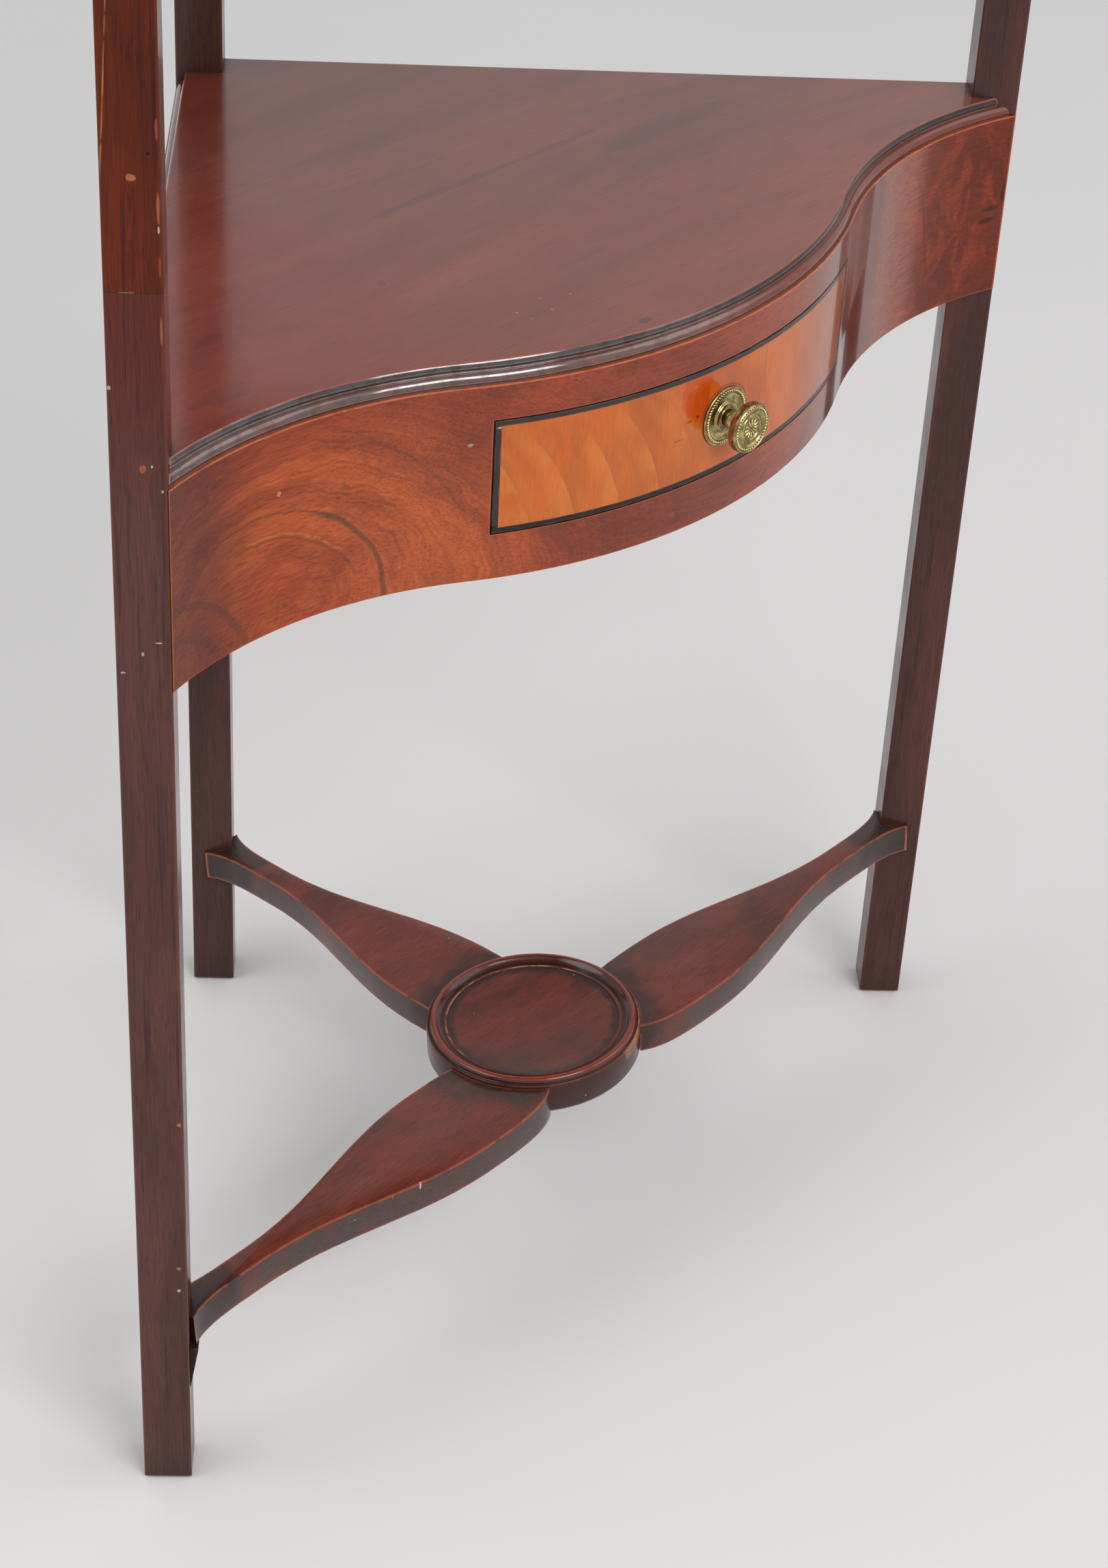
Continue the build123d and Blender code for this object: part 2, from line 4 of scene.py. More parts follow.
import bmesh
import bpy
from mathutils import Matrix, Vector, geometry, noise


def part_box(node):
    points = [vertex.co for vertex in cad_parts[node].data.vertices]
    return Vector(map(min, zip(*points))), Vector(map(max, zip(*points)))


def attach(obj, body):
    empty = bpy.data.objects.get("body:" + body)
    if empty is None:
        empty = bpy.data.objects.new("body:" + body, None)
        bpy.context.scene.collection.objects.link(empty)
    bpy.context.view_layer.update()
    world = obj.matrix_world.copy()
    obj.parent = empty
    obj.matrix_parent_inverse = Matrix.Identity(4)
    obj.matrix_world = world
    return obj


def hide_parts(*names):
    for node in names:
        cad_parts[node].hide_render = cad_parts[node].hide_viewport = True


bl_info = {
    "name": "Corner washstand",
    "version": (1, 0, 0),
    "blender": (4, 5, 0),
    "location": "View3D > Sidebar > Washstand",
    "description": "Dresses the corner washstand's frame: moulded shelf, leaf arms, turned dish, brass knob, "
                   "finishes and stage",
    "category": "Object",
}

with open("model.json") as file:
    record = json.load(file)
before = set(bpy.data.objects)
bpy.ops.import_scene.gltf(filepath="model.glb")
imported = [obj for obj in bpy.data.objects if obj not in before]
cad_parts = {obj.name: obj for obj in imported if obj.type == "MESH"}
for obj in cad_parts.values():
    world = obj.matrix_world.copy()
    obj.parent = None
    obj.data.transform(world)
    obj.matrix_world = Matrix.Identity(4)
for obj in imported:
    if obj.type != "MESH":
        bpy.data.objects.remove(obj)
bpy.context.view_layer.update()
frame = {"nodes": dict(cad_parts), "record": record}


def paint(red, green, blue):
    """Linear colour from the red, green and blue that a picture shows, each out of 255."""

    def linear(value):
        share = value / 255
        return share / 12.92 if share <= 0.04045 else ((share + 0.055) / 1.055) ** 2.4

    return linear(red), linear(green), linear(blue), 1.0


# Sizes and colours a user would change

def length(name, description, default):
    return bpy.props.FloatProperty(name=name, description=description, default=default, unit="LENGTH")


def number(name, description, default, low, high):
    return bpy.props.IntProperty(name=name, description=description, default=default, min=low, max=high)


def tint(name, description, *shown):
    """Colour setting; its default is the red, green and blue that a picture shows."""
    return bpy.props.FloatVectorProperty(name=name, description=description, subtype="COLOR", size=4, min=0, max=1,
                                         default=paint(*shown))


shelf_foot, shelf_head = (corner.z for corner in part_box("shelf_board"))


class WashstandSizes(bpy.types.PropertyGroup):
    """Sizes of the pieces, in metres."""

    wall_length: length("Wall length", "Length of the stand along each wall", 0.44)
    leg_section: length("Leg section", "Side of the square legs", 0.0244)
    bow_depth: length("Bow depth", "Depth from the walls' corner to the crown of the bow", 0.3854)
    bow_radius: length("Bow radius", "Radius of the bow in the middle of the front", 0.268)
    hollow_radius: length("Hollow radius", "Radius of the hollows beside the bow", 0.2064)
    shelf_height: length("Shelf height", "Height of the shelf's upper face", round(shelf_head, 4))
    shelf_thickness: length("Shelf thickness", "Thickness of the shelf board", round(shelf_head - shelf_foot, 4))
    veneer_thickness: length("Veneer thickness", "Thickness of the veneer on the front", 0.001)
    bead_inset: length("Bead inset", "How far the bead's nose stays behind the veneered face", 0.0018)
    bead_width: length("Bead width", "Width of the bead round the shelf", 0.003)
    bead_height: length("Bead height", "Height of the bead above its ledge", 0.0049)
    shoulder_height: length("Shoulder height", "Height of the wall and shoulder above the bead", 0.0044)
    moulding_width: length("Moulding width", "Depth of the moulded edge from the veneered face", 0.0062)
    arris_width: length("Arris width", "Width of the rounding along the arms' edges", 0.0016)
    dish_radius: length("Dish radius", "Outer radius of the dish in the stretcher", 0.06)
    dish_depth: length("Dish depth", "Depth of the dish's centre from the walls' corner", 0.2856)
    arm_thickness: length("Arm thickness", "Thickness of the stretcher's arms", 0.018)
    knob_height: length("Knob height", "Height of the knob's centre", 0.5415)
    plate_ropes: number("Plate rope strands", "Strands of the rope ring on the back plate", 56, 8, 120)
    head_ropes: number("Head rope strands", "Strands of the rope ring on the knob's head", 44, 8, 120)
    petals: number("Rosette petals", "Petals round the knob's centre", 12, 4, 40)


class WashstandColours(bpy.types.PropertyGroup):
    """Colours of the finishes."""

    leg: tint("Leg mahogany", "Old dark mahogany of the legs", 82, 46, 41)
    leg_repair: tint("Repaired leg", "Redder mahogany above the splice", 88, 31, 12)
    shelf: tint("Shelf mahogany", "Figured mahogany of the shelf", 127, 58, 43)
    frieze: tint("Frieze veneer", "Flame veneer of the frieze", 134, 53, 26)
    flame: tint("Flame", "Light flame in the frieze veneer", 202, 98, 40)
    drawer: tint("Drawer veneer", "Golden veneer of the drawer", 190, 90, 20)
    stringing: tint("Stringing", "Ebonised line round the drawer", 48, 38, 36)
    stretcher: tint("Stretcher mahogany", "Mahogany of the arms and dish", 102, 48, 38)
    worn_edge: tint("Worn edge", "Bare wood where polish has rubbed off an edge", 192, 88, 46)
    # This colour paints dark wax and shade into the angles
    grime: tint("Grime", "Dark wax and dust in the angles", 42, 32, 30)
    softwood: tint("Softwood", "Pine of the hidden parts", 176, 138, 92)
    brass: tint("Brass", "Old lacquered brass of the knob", 222, 204, 146)
    paper: tint("Background paper", "Pale paper the stand is pictured on", 230, 228, 227)


def sizes():
    return bpy.context.scene.washstand_sizes


def hue(name):
    """Colour that a setting holds, as a row of four values."""
    return tuple(getattr(bpy.context.scene.washstand_colours, name))


# Node trees: short ways to add nodes to the tree in hand and to join their inputs

class Bench:
    """Holds the node tree that the helpers below fill."""

    tree = None


def join(node, inputs):
    for key, value in inputs.items():
        socket = node.inputs[key]
        if isinstance(value, bpy.types.NodeSocket):
            Bench.tree.links.new(value, socket)
        else:
            socket.default_value = value
    return node


def add(kind, inputs=None, **settings):
    node = Bench.tree.nodes.new(kind)
    for key, value in settings.items():
        setattr(node, key, value)
    return join(node, inputs or {})


def sum_of(operation, first, second=0.0, third=0.0, clamp=False):
    node = add("ShaderNodeMath", {0: first, 1: second, 2: third}, operation=operation, use_clamp=clamp)
    return node.outputs[0]


def times(first, second, clamp=False):
    return sum_of("MULTIPLY", first, second, clamp=clamp)


def plus(first, second, clamp=False):
    return sum_of("ADD", first, second, clamp=clamp)


def minus(first, second):
    return sum_of("SUBTRACT", first, second)


def over(first, second):
    return sum_of("DIVIDE", first, second)


def times_plus(first, second, third, clamp=False):
    return sum_of("MULTIPLY_ADD", first, second, third, clamp)


def apart(value, middle):
    """How far a value is from a middle one, on either side."""
    return sum_of("ABSOLUTE", minus(value, middle))


def vector_of(operation, first, second=(0.0, 0.0, 0.0)):
    node = add("ShaderNodeVectorMath", {0: first, 1: second}, operation=operation)
    return node.outputs["Value" if operation in ("LENGTH", "DOT_PRODUCT") else "Vector"]


def vector_from(x=0.0, y=0.0, z=0.0):
    return add("ShaderNodeCombineXYZ", {"X": x, "Y": y, "Z": z}).outputs[0]


def split(vector):
    return add("ShaderNodeSeparateXYZ", {"Vector": vector}).outputs


def mapped(vector, rotation=(0.0, 0.0, 0.0), scale=(1.0, 1.0, 1.0)):
    """The vector stretched and then turned."""
    return add("ShaderNodeMapping", {"Vector": vector, "Rotation": rotation, "Scale": scale}).outputs["Vector"]


def between(value, low, high):
    """Share of the way of a value from low to high, held between 0 and 1 and eased at both ends."""
    node = add("ShaderNodeMapRange", {"Value": value, "From Min": low, "From Max": high},
               interpolation_type="SMOOTHSTEP")
    return node.outputs["Result"]


def blend(share, under, upper, mode="MIX"):
    node = add("ShaderNodeMix", data_type="RGBA", blend_type=mode)
    return join(node, {0: share, 6: under, 7: upper}).outputs[2]


def cover(base, mask, share, tone):
    """Lays a tone over the base where the mask is, as strong as its share."""
    return blend(times(mask, share), base, tone)


def noise_node(vector, scale, detail, roughness, distortion=0.0):
    return add("ShaderNodeTexNoise", {"Vector": vector, "Scale": scale, "Detail": detail, "Roughness": roughness,
                                      "Distortion": distortion}).outputs


def clouds(vector, scale, detail=3.0, roughness=0.55, distortion=0.0):
    return noise_node(vector, scale, detail, roughness, distortion)["Fac"]


def patches(vector, scale, low, high, detail=3.0, roughness=0.6):
    """Clouds cut to patches: none at the low value, full at the high one."""
    return between(clouds(vector, scale, detail, roughness), low, high)


def pushed(vector, scale, detail, roughness, amount):
    """The vector with its points pushed about by clouds."""
    centred = vector_of("SUBTRACT", noise_node(vector, scale, detail, roughness)["Color"], (0.5, 0.5, 0.5))
    push = add("ShaderNodeVectorMath", {0: centred, "Scale": amount}, operation="SCALE")
    return vector_of("ADD", vector, push.outputs["Vector"])


def new_group(name, inputs, outputs):
    """Starts a shader node group over a vector; returns its input sockets and its end node."""
    tree = Bench.tree = bpy.data.node_groups.new(name, "ShaderNodeTree")
    tree.interface.new_socket("Vector", in_out="INPUT", socket_type="NodeSocketVector")
    for label, default in inputs.items():
        kind = "NodeSocketVector" if isinstance(default, tuple) else "NodeSocketFloat"
        tree.interface.new_socket(label, in_out="INPUT", socket_type=kind).default_value = default
    for label in outputs:
        tree.interface.new_socket(label, in_out="OUTPUT", socket_type="NodeSocketFloat")
    return add("NodeGroupInput").outputs, add("NodeGroupOutput")


def use_group(group, inputs):
    return join(add("ShaderNodeGroup", node_tree=bpy.data.node_groups[group]), inputs).outputs


def mark(vector, centre, reach, ragged, rag_size):
    """Mask of one mark about a point."""
    return use_group("Mark", {"Vector": vector, "Centre": centre, "Reach": reach, "Ragged": ragged,
                              "Rag Size": rag_size})["Mask"]


# Shared effects

def make_grain_group():
    """Mahogany grain whose fibres run along the vector's X."""
    start, end = new_group("Mahogany grain", {"Fibre Size": 0.0011, "Fibre Length": 14.0, "Figure Size": 0.05,
                                              "Figure Length": 3.5, "Waviness": 0.012}, ["Fibre", "Figure", "Pores"])
    vector = start["Vector"]
    warped = pushed(vector, 7.0, 1.5, 0.5, start["Waviness"])
    fibre_run, figure_run = (vector_of("MULTIPLY", warped, vector_from(over(1.0, start[name]), 1.0, 1.0))
                             for name in ("Fibre Length", "Figure Length"))
    fibre_scale = over(1.0, start["Fibre Size"])
    figure_scale = over(1.0, start["Figure Size"])
    fibre = clouds(fibre_run, fibre_scale, 3.0, 0.62)
    figure = clouds(figure_run, figure_scale, 3.5, 0.58, 0.5)
    pores = clouds(fibre_run, times(fibre_scale, 1.7), 1.5, 0.5)
    join(end, {"Fibre": between(fibre, 0.3, 0.7), "Figure": between(figure, 0.32, 0.68),
               "Pores": between(pores, 0.6, 0.7)})


def make_edge_group():
    """Mask along rubbed arrises, broken up as wear is."""
    start, end = new_group("Rubbed edges", {"Radius": 0.0012, "Break Size": 0.012, "Cover": 0.5}, ["Mask"])
    rounded = add("ShaderNodeBevel", {"Radius": start["Radius"]}, samples=6)
    surface = add("ShaderNodeNewGeometry")
    turn = vector_of("DOT_PRODUCT", rounded.outputs["Normal"], surface.outputs["True Normal"])
    edge = between(turn, 0.992, 0.86)
    breaks = clouds(start["Vector"], over(1.0, start["Break Size"]), 4.0, 0.65)
    low = minus(0.72, start["Cover"])
    broken = between(breaks, low, plus(low, 0.18))
    join(end, {"Mask": times(edge, broken)})


def make_grime_and_shade_group():
    """Mask from ambient occlusion: the wax and dust that gathers in angles, with painted shade there."""
    start, end = new_group("Grime in angles", {"Reach": 0.008, "Amount": 1.0}, ["Mask"])
    hidden = add("ShaderNodeAmbientOcclusion", {"Distance": start["Reach"]}, samples=6)
    closed = between(hidden.outputs["AO"], 0.86, 0.3)
    mask = times(closed, times_plus(clouds(start["Vector"], 160.0, 3.0, 0.6), 0.8, 0.55))
    join(end, {"Mask": times(mask, start["Amount"], clamp=True)})


def make_specks_group():
    """Small scattered specks and pits."""
    start, end = new_group("Specks", {"Spacing": 0.02, "Size": 0.0006, "Share": 0.4}, ["Mask"])
    scale = over(1.0, start["Spacing"])
    cells = add("ShaderNodeTexVoronoi", {"Vector": start["Vector"], "Scale": scale})
    reach = over(start["Size"], start["Spacing"])
    ragged = clouds(start["Vector"], 1400.0, 2.0)
    reach = times(reach, times_plus(ragged, 1.6, 0.2))
    dot = between(cells.outputs["Distance"], reach, times(reach, 0.6))
    chosen = add("ShaderNodeSeparateColor", {"Color": cells.outputs["Color"]})
    kept = sum_of("LESS_THAN", chosen.outputs[0], start["Share"])
    join(end, {"Mask": times(dot, kept)})


def make_mark_group():
    """One soft or ragged mark of given half sizes about a point."""
    start, end = new_group("Mark", {"Centre": (0.0, 0.0, 0.0), "Reach": (0.01, 0.01, 0.01), "Ragged": 0.5,
                                    "Rag Size": 0.004}, ["Mask"])
    away = vector_of("SUBTRACT", start["Vector"], start["Centre"])
    share = vector_of("LENGTH", vector_of("DIVIDE", away, start["Reach"]))
    rag = clouds(start["Vector"], over(1.0, start["Rag Size"]), 3.0, 0.6)
    shift = times(minus(rag, 0.5), start["Ragged"])
    join(end, {"Mask": between(plus(share, shift), 1.0, 0.7)})


def make_haze_group():
    """Uneven roughness of old wax polish, with fine scratches."""
    start, end = new_group("Polish haze", {"Bright": 0.16, "Dull": 0.34}, ["Roughness", "Scratches"])
    broad = clouds(start["Vector"], 22.0, 4.0, 0.6)
    fine = clouds(start["Vector"], 420.0, 3.0, 0.6)
    share = times_plus(fine, 0.2, times(between(broad, 0.3, 0.7), 0.8))
    span = minus(start["Dull"], start["Bright"])
    rough = times_plus(share, span, start["Bright"])
    turned = mapped(start["Vector"], rotation=(0.3, 0.5, 0.9), scale=(1.0, 0.03, 1.0))
    lines = clouds(turned, 1300.0, 2.0, 0.5)
    join(end, {"Roughness": rough, "Scratches": between(lines, 0.68, 0.78)})


# Finishes

def shade(colour, factor):
    return tuple(min(1.0, channel * factor) for channel in colour[:3]) + (1.0,)


def object_vector(turn, mirrored=False):
    """Object coordinates turned so that the grain runs along X, the same on both sides when mirrored."""
    place = plain_vector()
    if mirrored:
        parts = split(place)
        place = vector_from(sum_of("ABSOLUTE", parts["X"]), parts["Y"], parts["Z"])
    return mapped(place, rotation=turn)


def plain_vector():
    return add("ShaderNodeTexCoord").outputs["Object"]


def new_material(name):
    """Starts a finish and returns its shader."""
    material = bpy.data.materials.new(name)
    material.use_nodes = True
    Bench.tree = material.node_tree
    Bench.tree.nodes.clear()
    shader = add("ShaderNodeBsdfPrincipled")
    add("ShaderNodeOutputMaterial", {"Surface": shader.outputs["BSDF"]})
    return shader


def seen_from_front(vector):
    return vector_of("MULTIPLY", vector, (1.0, 0.0, 1.0))


def height_from(vector, height):
    """Distance above or below a height."""
    return apart(split(vector)["Z"], height)


def wood(name, colour, turn=(0.0, 0.0, 0.0), fibre=0.0011, fibre_length=14.0, figure=0.05, figure_length=3.5,
         contrast=1.0, wear=0.5, wear_radius=0.0012, worn=None, grime=1.0, occlusion_reach=0.008, specks=0.4, bright=0.16,
         dull=0.34, coat=0.6, sheen=0.2, relief=0.25, pores=0.5, extra=None, polish=None, polish_depth=0.6,
         mirrored=False, seam=0.0):
    """Polished wood: grain, worn arrises, dark wax and painted shade in the angles, specks and uneven polish."""
    shader = new_material(name)
    plain = plain_vector()
    along = object_vector(turn, mirrored=mirrored)
    grain = use_group("Mahogany grain", {"Vector": along, "Fibre Size": fibre, "Fibre Length": fibre_length,
                                         "Figure Size": figure, "Figure Length": figure_length})
    base = blend(grain["Figure"], shade(colour, 1 - 0.34 * contrast), shade(colour, 1 + 0.3 * contrast))
    if extra:
        base = extra(plain, base)
    fibre_tone = blend(grain["Fibre"], (0.72, 0.68, 0.66, 1), (1.14, 1.12, 1.1, 1))
    base = blend(0.75 * contrast, base, fibre_tone, "MULTIPLY")
    base = cover(base, grain["Pores"], pores, shade(colour, 0.25))
    haze = use_group("Polish haze", {"Vector": plain, "Bright": bright, "Dull": dull})
    rubbed = use_group("Rubbed edges", {"Vector": plain, "Radius": wear_radius, "Cover": wear})["Mask"]
    if seam:
        rubbed = times(rubbed, between(height_from(plain, seam), 0.002, 0.004))
    base = cover(base, rubbed, 0.8, worn or hue("worn_edge"))
    # Dark wax and painted shade in the angles, from ambient occlusion
    dirt_and_shade = use_group("Grime in angles", {"Vector": plain, "Reach": occlusion_reach, "Amount": grime})["Mask"]
    base = cover(base, dirt_and_shade, 0.85, hue("grime"))
    pale = use_group("Specks", {"Vector": plain, "Share": specks})["Mask"]
    base = cover(base, pale, 0.6, paint(196, 158, 122))
    rough = times_plus(dirt_and_shade, 0.3, haze["Roughness"])
    rough = times_plus(haze["Scratches"], 0.08, rough, clamp=True)
    if polish:
        glossy = polish(plain)
        rough = times_plus(glossy, minus(0.1, rough), rough)
        # More gloss raises the coat's IOR; less gloss thins the coat itself
        if polish_depth > 0:
            join(shader, {"Coat IOR": times_plus(glossy, polish_depth, 1.5)})
        else:
            join(shader, {"Coat Weight": times_plus(glossy, polish_depth, coat)})
    height = times_plus(grain["Pores"], -0.6, grain["Fibre"])
    height = times_plus(pale, 0.8, height)
    soft = add("ShaderNodeBevel", {"Radius": 0.0006}, samples=4)
    bump = add("ShaderNodeBump", {"Strength": relief, "Distance": 0.00008, "Height": height,
                                  "Normal": soft.outputs["Normal"]})
    join(shader, {"Base Color": base, "Roughness": rough, "Normal": bump.outputs["Normal"]})
    shader.inputs["Specular IOR Level"].default_value = sheen
    shader.inputs["Coat Weight"].default_value = coat
    shader.inputs["Coat Roughness"].default_value = bright * 0.6


quarter = math.pi / 2
splice_height = 0.681
along_z = (0.0, quarter, 0.0)


def spotted(vector, base, spots, ragged=0.9):
    """Small marks, each given by its centre, half sizes, share and colour."""
    for centre, reach, share, tone in spots:
        mask = mark(vector, centre, reach, ragged, max(reach[0], reach[2]) * 0.8)
        base = cover(base, mask, share, tone)
    return base


def named_mask(name):
    return add("ShaderNodeAttribute", attribute_name=name, attribute_type="GEOMETRY").outputs["Fac"]


def rise_of():
    """How far the surface faces up, from -1 to 1."""
    return split(add("ShaderNodeNewGeometry").outputs["Normal"])["Z"]


def under_splice(plain):
    """One on the left leg just under its splice, fading downwards."""
    parts = split(plain)
    lower = times(between(parts["Z"], 0.56, 0.68), sum_of("LESS_THAN", parts["Z"], splice_height))
    return times(between(parts["X"], -0.25, -0.27), lower)


def leg_marks(plain, base):
    """Glue line where the left leg was pieced, its nail hole, chips and rubbed spots, painted shade on the back leg,
    and darker wood towards the feet.
    """
    parts = split(plain)
    base = cover(base, under_splice(plain), 0.85, paint(92, 34, 22))
    slanted = times_plus(parts["Z"], -0.0417, parts["X"])
    crack = between(sum_of("ABSOLUTE", plus(slanted, 0.34126)), 0.0003, 0.0001)
    front = between(plus(parts["X"], parts["Y"]), -0.42, -0.4205)
    broken = patches(plain, 160.0, 0.24, 0.5)
    crack = times(times(crack, front), times(between(parts["Z"], 0.725, 0.745), broken))
    base = cover(base, crack, 0.6, paint(190, 132, 86))
    base = cover(base, between(height_from(plain, splice_height), 0.0006, 0.0002), 0.7, paint(58, 38, 32))
    streak = mapped(plain, scale=(1.0, 1.0, 0.02))
    lines = clouds(streak, 420.0, 2.5, 0.6)
    base = cover(base, between(lines, 0.56, 0.7), 0.6, paint(42, 18, 16))
    # Painted shade: the back leg is darkened
    back_leg_shade, foot = between(parts["Y"], 0.06, 0.12), between(parts["Z"], 0.03, 0.004)
    base = cover(base, back_leg_shade, 0.4, paint(58, 42, 40))
    # Darker towards the feet
    base = cover(base, foot, 0.45, paint(56, 38, 32))
    tan, chip, pit, pale = paint(176, 112, 70), paint(170, 84, 56), paint(26, 14, 12), paint(204, 184, 168)
    return spotted(plain, base, [
        ((-0.3023, -0.1185, 0.7312), (0.0024, 0.0024, 0.0017), 0.85, tan),
        ((-0.2974, -0.1234, 0.7416), (0.0009, 0.0009, 0.0009), 0.9, pit),
        ((-0.2949, -0.1259, 0.7517), (0.0007, 0.0007, 0.005), 0.5, chip),
        ((-0.2949, -0.1259, 0.718), (0.0008, 0.0008, 0.007), 0.55, tan),
        ((-0.2949, -0.1259, 0.709), (0.0005, 0.0005, 0.002), 0.8, pale),
        ((-0.2948, -0.126, 0.693), (0.0006, 0.0006, 0.006), 0.5, chip),
        ((-0.2948, -0.126, 0.664), (0.0006, 0.0006, 0.007), 0.5, tan),
        ((-0.3047, -0.116, 0.6811), (0.0048, 0.0048, 0.0003), 0.6, paint(160, 120, 106)),
        ((-0.3012, -0.1195, 0.6001), (0.0016, 0.0016, 0.0022), 0.8, chip),
        ((-0.2985, -0.1222, 0.6012), (0.0005, 0.0005, 0.0007), 0.9, pale),
        ((-0.3104, -0.1104, 0.6377), (0.0009, 0.0009, 0.0011), 0.8, pale),
        ((-0.3028, -0.1179, 0.5086), (0.0007, 0.0007, 0.0012), 0.7, pale),
        ((-0.298, -0.1228, 0.5143), (0.0018, 0.0018, 0.0004), 0.8, pale),
        ((-0.309, -0.1117, 0.4988), (0.0012, 0.0012, 0.0006), 0.7, pale),
        ((-0.2956, -0.1252, 0.5895), (0.0006, 0.0006, 0.0009), 0.8, pale),
        ((-0.2954, -0.1254, 0.2412), (0.0014, 0.0014, 0.0012), 0.9, tan),
        ((-0.2966, -0.1241, 0.1479), (0.0013, 0.0013, 0.0013), 0.8, tan),
        ((-0.2968, -0.1239, 0.1331), (0.001, 0.001, 0.0012), 0.8, pale),
    ])


def make_leg_finishes():
    shared = dict(turn=along_z, fibre=0.0009, fibre_length=26.0, figure=0.03, figure_length=9.0, wear=0.62,
                  wear_radius=0.0016, extra=leg_marks, seam=splice_height)
    wood("leg_mahogany", hue("leg"), specks=0.55, bright=0.2, dull=0.38, coat=0.28, polish=under_splice,
         polish_depth=-0.22, **shared)
    wood("leg_repair_mahogany", hue("leg_repair"), specks=0.5, bright=0.2, dull=0.34, coat=0.12, sheen=0.12, **shared)
    wood("wedge_wood", paint(34, 22, 20), turn=along_z, wear=0.2, coat=0.1, bright=0.4, dull=0.6)


def shelf_figure(plain, base):
    """Broad dark streaks and clouds across the shelf, a redder part by the left leg as painted reflection, painted
    shade towards the back, painted light towards the front, and the moulding's tones.
    """
    streaks = mapped(plain, rotation=(0.0, 0.0, 0.12), scale=(3.2, 15.0, 3.0))
    dark = clouds(streaks, 1.6, 4.0, 0.6, 1.1)
    base = cover(base, between(dark, 0.48, 0.7), 0.4, paint(78, 38, 32))
    glow = clouds(streaks, 2.3, 3.0, 0.5, 0.6)
    base = cover(base, between(glow, 0.5, 0.72), 0.35, paint(150, 70, 44))
    # Painted reflection: the left part is made redder where the polish reflects the dark leg
    red = mark(plain, (-0.19, 0.0, 0.6), (0.11, 0.17, 0.1), ragged=1.2, rag_size=0.05)
    base = cover(base, red, 0.4, paint(128, 40, 32))
    # Painted shade towards the back of the shelf and painted light towards its front
    depth = split(plain)["Y"]
    base = cover(base, between(depth, 0.0, 0.14), 0.5, paint(84, 34, 24))
    base = cover(base, between(depth, -0.08, -0.15), 0.4, paint(156, 74, 48))
    dark_wood, spot = paint(52, 34, 34), paint(58, 40, 38)
    base = spotted(plain, base, [
        ((0.016, -0.008, 0.599), (0.085, 0.0035, 0.02), 0.35, dark_wood),
        ((0.126, -0.028, 0.599), (0.06, 0.007, 0.02), 0.3, dark_wood),
        ((-0.042, -0.167, 0.599), (0.004, 0.0025, 0.01), 0.6, dark_wood),
        ((-0.205, -0.051, 0.599), (0.014, 0.004, 0.01), 0.28, spot),
        ((-0.236, -0.092, 0.599), (0.02, 0.007, 0.01), 0.25, spot),
        ((-0.106, -0.061, 0.599), (0.003, 0.002, 0.01), 0.5, spot),
    ], ragged=2.2)
    dust = mark(plain, (-0.064, -0.124, 0.599), (0.028, 0.012, 0.01), ragged=0.8, rag_size=0.01)
    grains = use_group("Specks", {"Vector": plain, "Spacing": 0.0045, "Size": 0.0007, "Share": 0.45})["Mask"]
    base = cover(base, times(dust, grains), 0.85, paint(206, 168, 112))
    bead_tone = blend(between(split(plain)["X"], -0.12, 0.1), paint(70, 48, 42), paint(108, 44, 30))
    # The cove is painted near black: dark wax in the quirk and painted shade in its recess
    for name, share, full, tone in (
            ("bead", 0.85, 0.7, bead_tone), ("cove", 0.97, 0.95, paint(24, 19, 17)),
            ("ledge", 0.9, 0.8, paint(40, 34, 29)), ("arris", 0.85, 0.5, paint(168, 60, 34))):
        uneven = patches(plain, 90.0, 0.32, 0.56, detail=4.0, roughness=0.65)
        mask = times(named_mask(name), times_plus(uneven, 1.0 - full, full))
        base = cover(base, mask, share, tone)
    # Painted shadow: where the moulding stops short of the left leg it is painted near black; the pale spots are glue
    gap_shadow, glue = paint(12, 9, 8), paint(150, 140, 124)
    return spotted(plain, base, [
        ((-0.2895, -0.1225, 0.595), (0.0016, 0.0075, 0.005), 0.95, gap_shadow),
        ((-0.293, -0.1275, 0.5905), (0.0035, 0.003, 0.0012), 0.7, glue),
        ((0.2925, -0.13, 0.594), (0.0035, 0.006, 0.003), 0.5, glue),
    ])


def moulding_polish(plain):
    """The shelf's bead and cove, glossy on the left and worn dull on the right."""
    broken = patches(plain, 150.0, 0.62, 0.45)
    both = plus(named_mask("bead"), named_mask("cove"), clamp=True)
    both = times(both, times_plus(between(split(plain)["X"], 0.03, -0.02), 0.95, 0.05))
    return times(both, times_plus(broken, 0.5, 0.5))


def duller_ends(plain):
    """The frieze's ends, where its polish is thinner."""
    across = split(plain)["X"]
    return plus(between(across, 0.19, 0.235), between(across, -0.14, -0.25), clamp=True)


def make_shelf_finishes():
    wood("shelf_mahogany", hue("shelf"), extra=shelf_figure, polish=moulding_polish, fibre=0.0013, fibre_length=20.0,
         figure=0.06, figure_length=4.0, bright=0.18, dull=0.3, wear=0.5, coat=0.68, sheen=0.38, contrast=0.55,
         relief=0.03, pores=0.2, specks=0.15, polish_depth=0.9)
    wood("gallery_mahogany", hue("shelf"), turn=(0.0, 0.0, quarter / 2), fibre_length=18.0, figure_length=7.0,
         mirrored=True)
    wood("rail_mahogany", hue("leg"), turn=(0.0, 0.0, quarter / 2), fibre_length=18.0, wear=0.3, figure_length=7.0,
         mirrored=True)


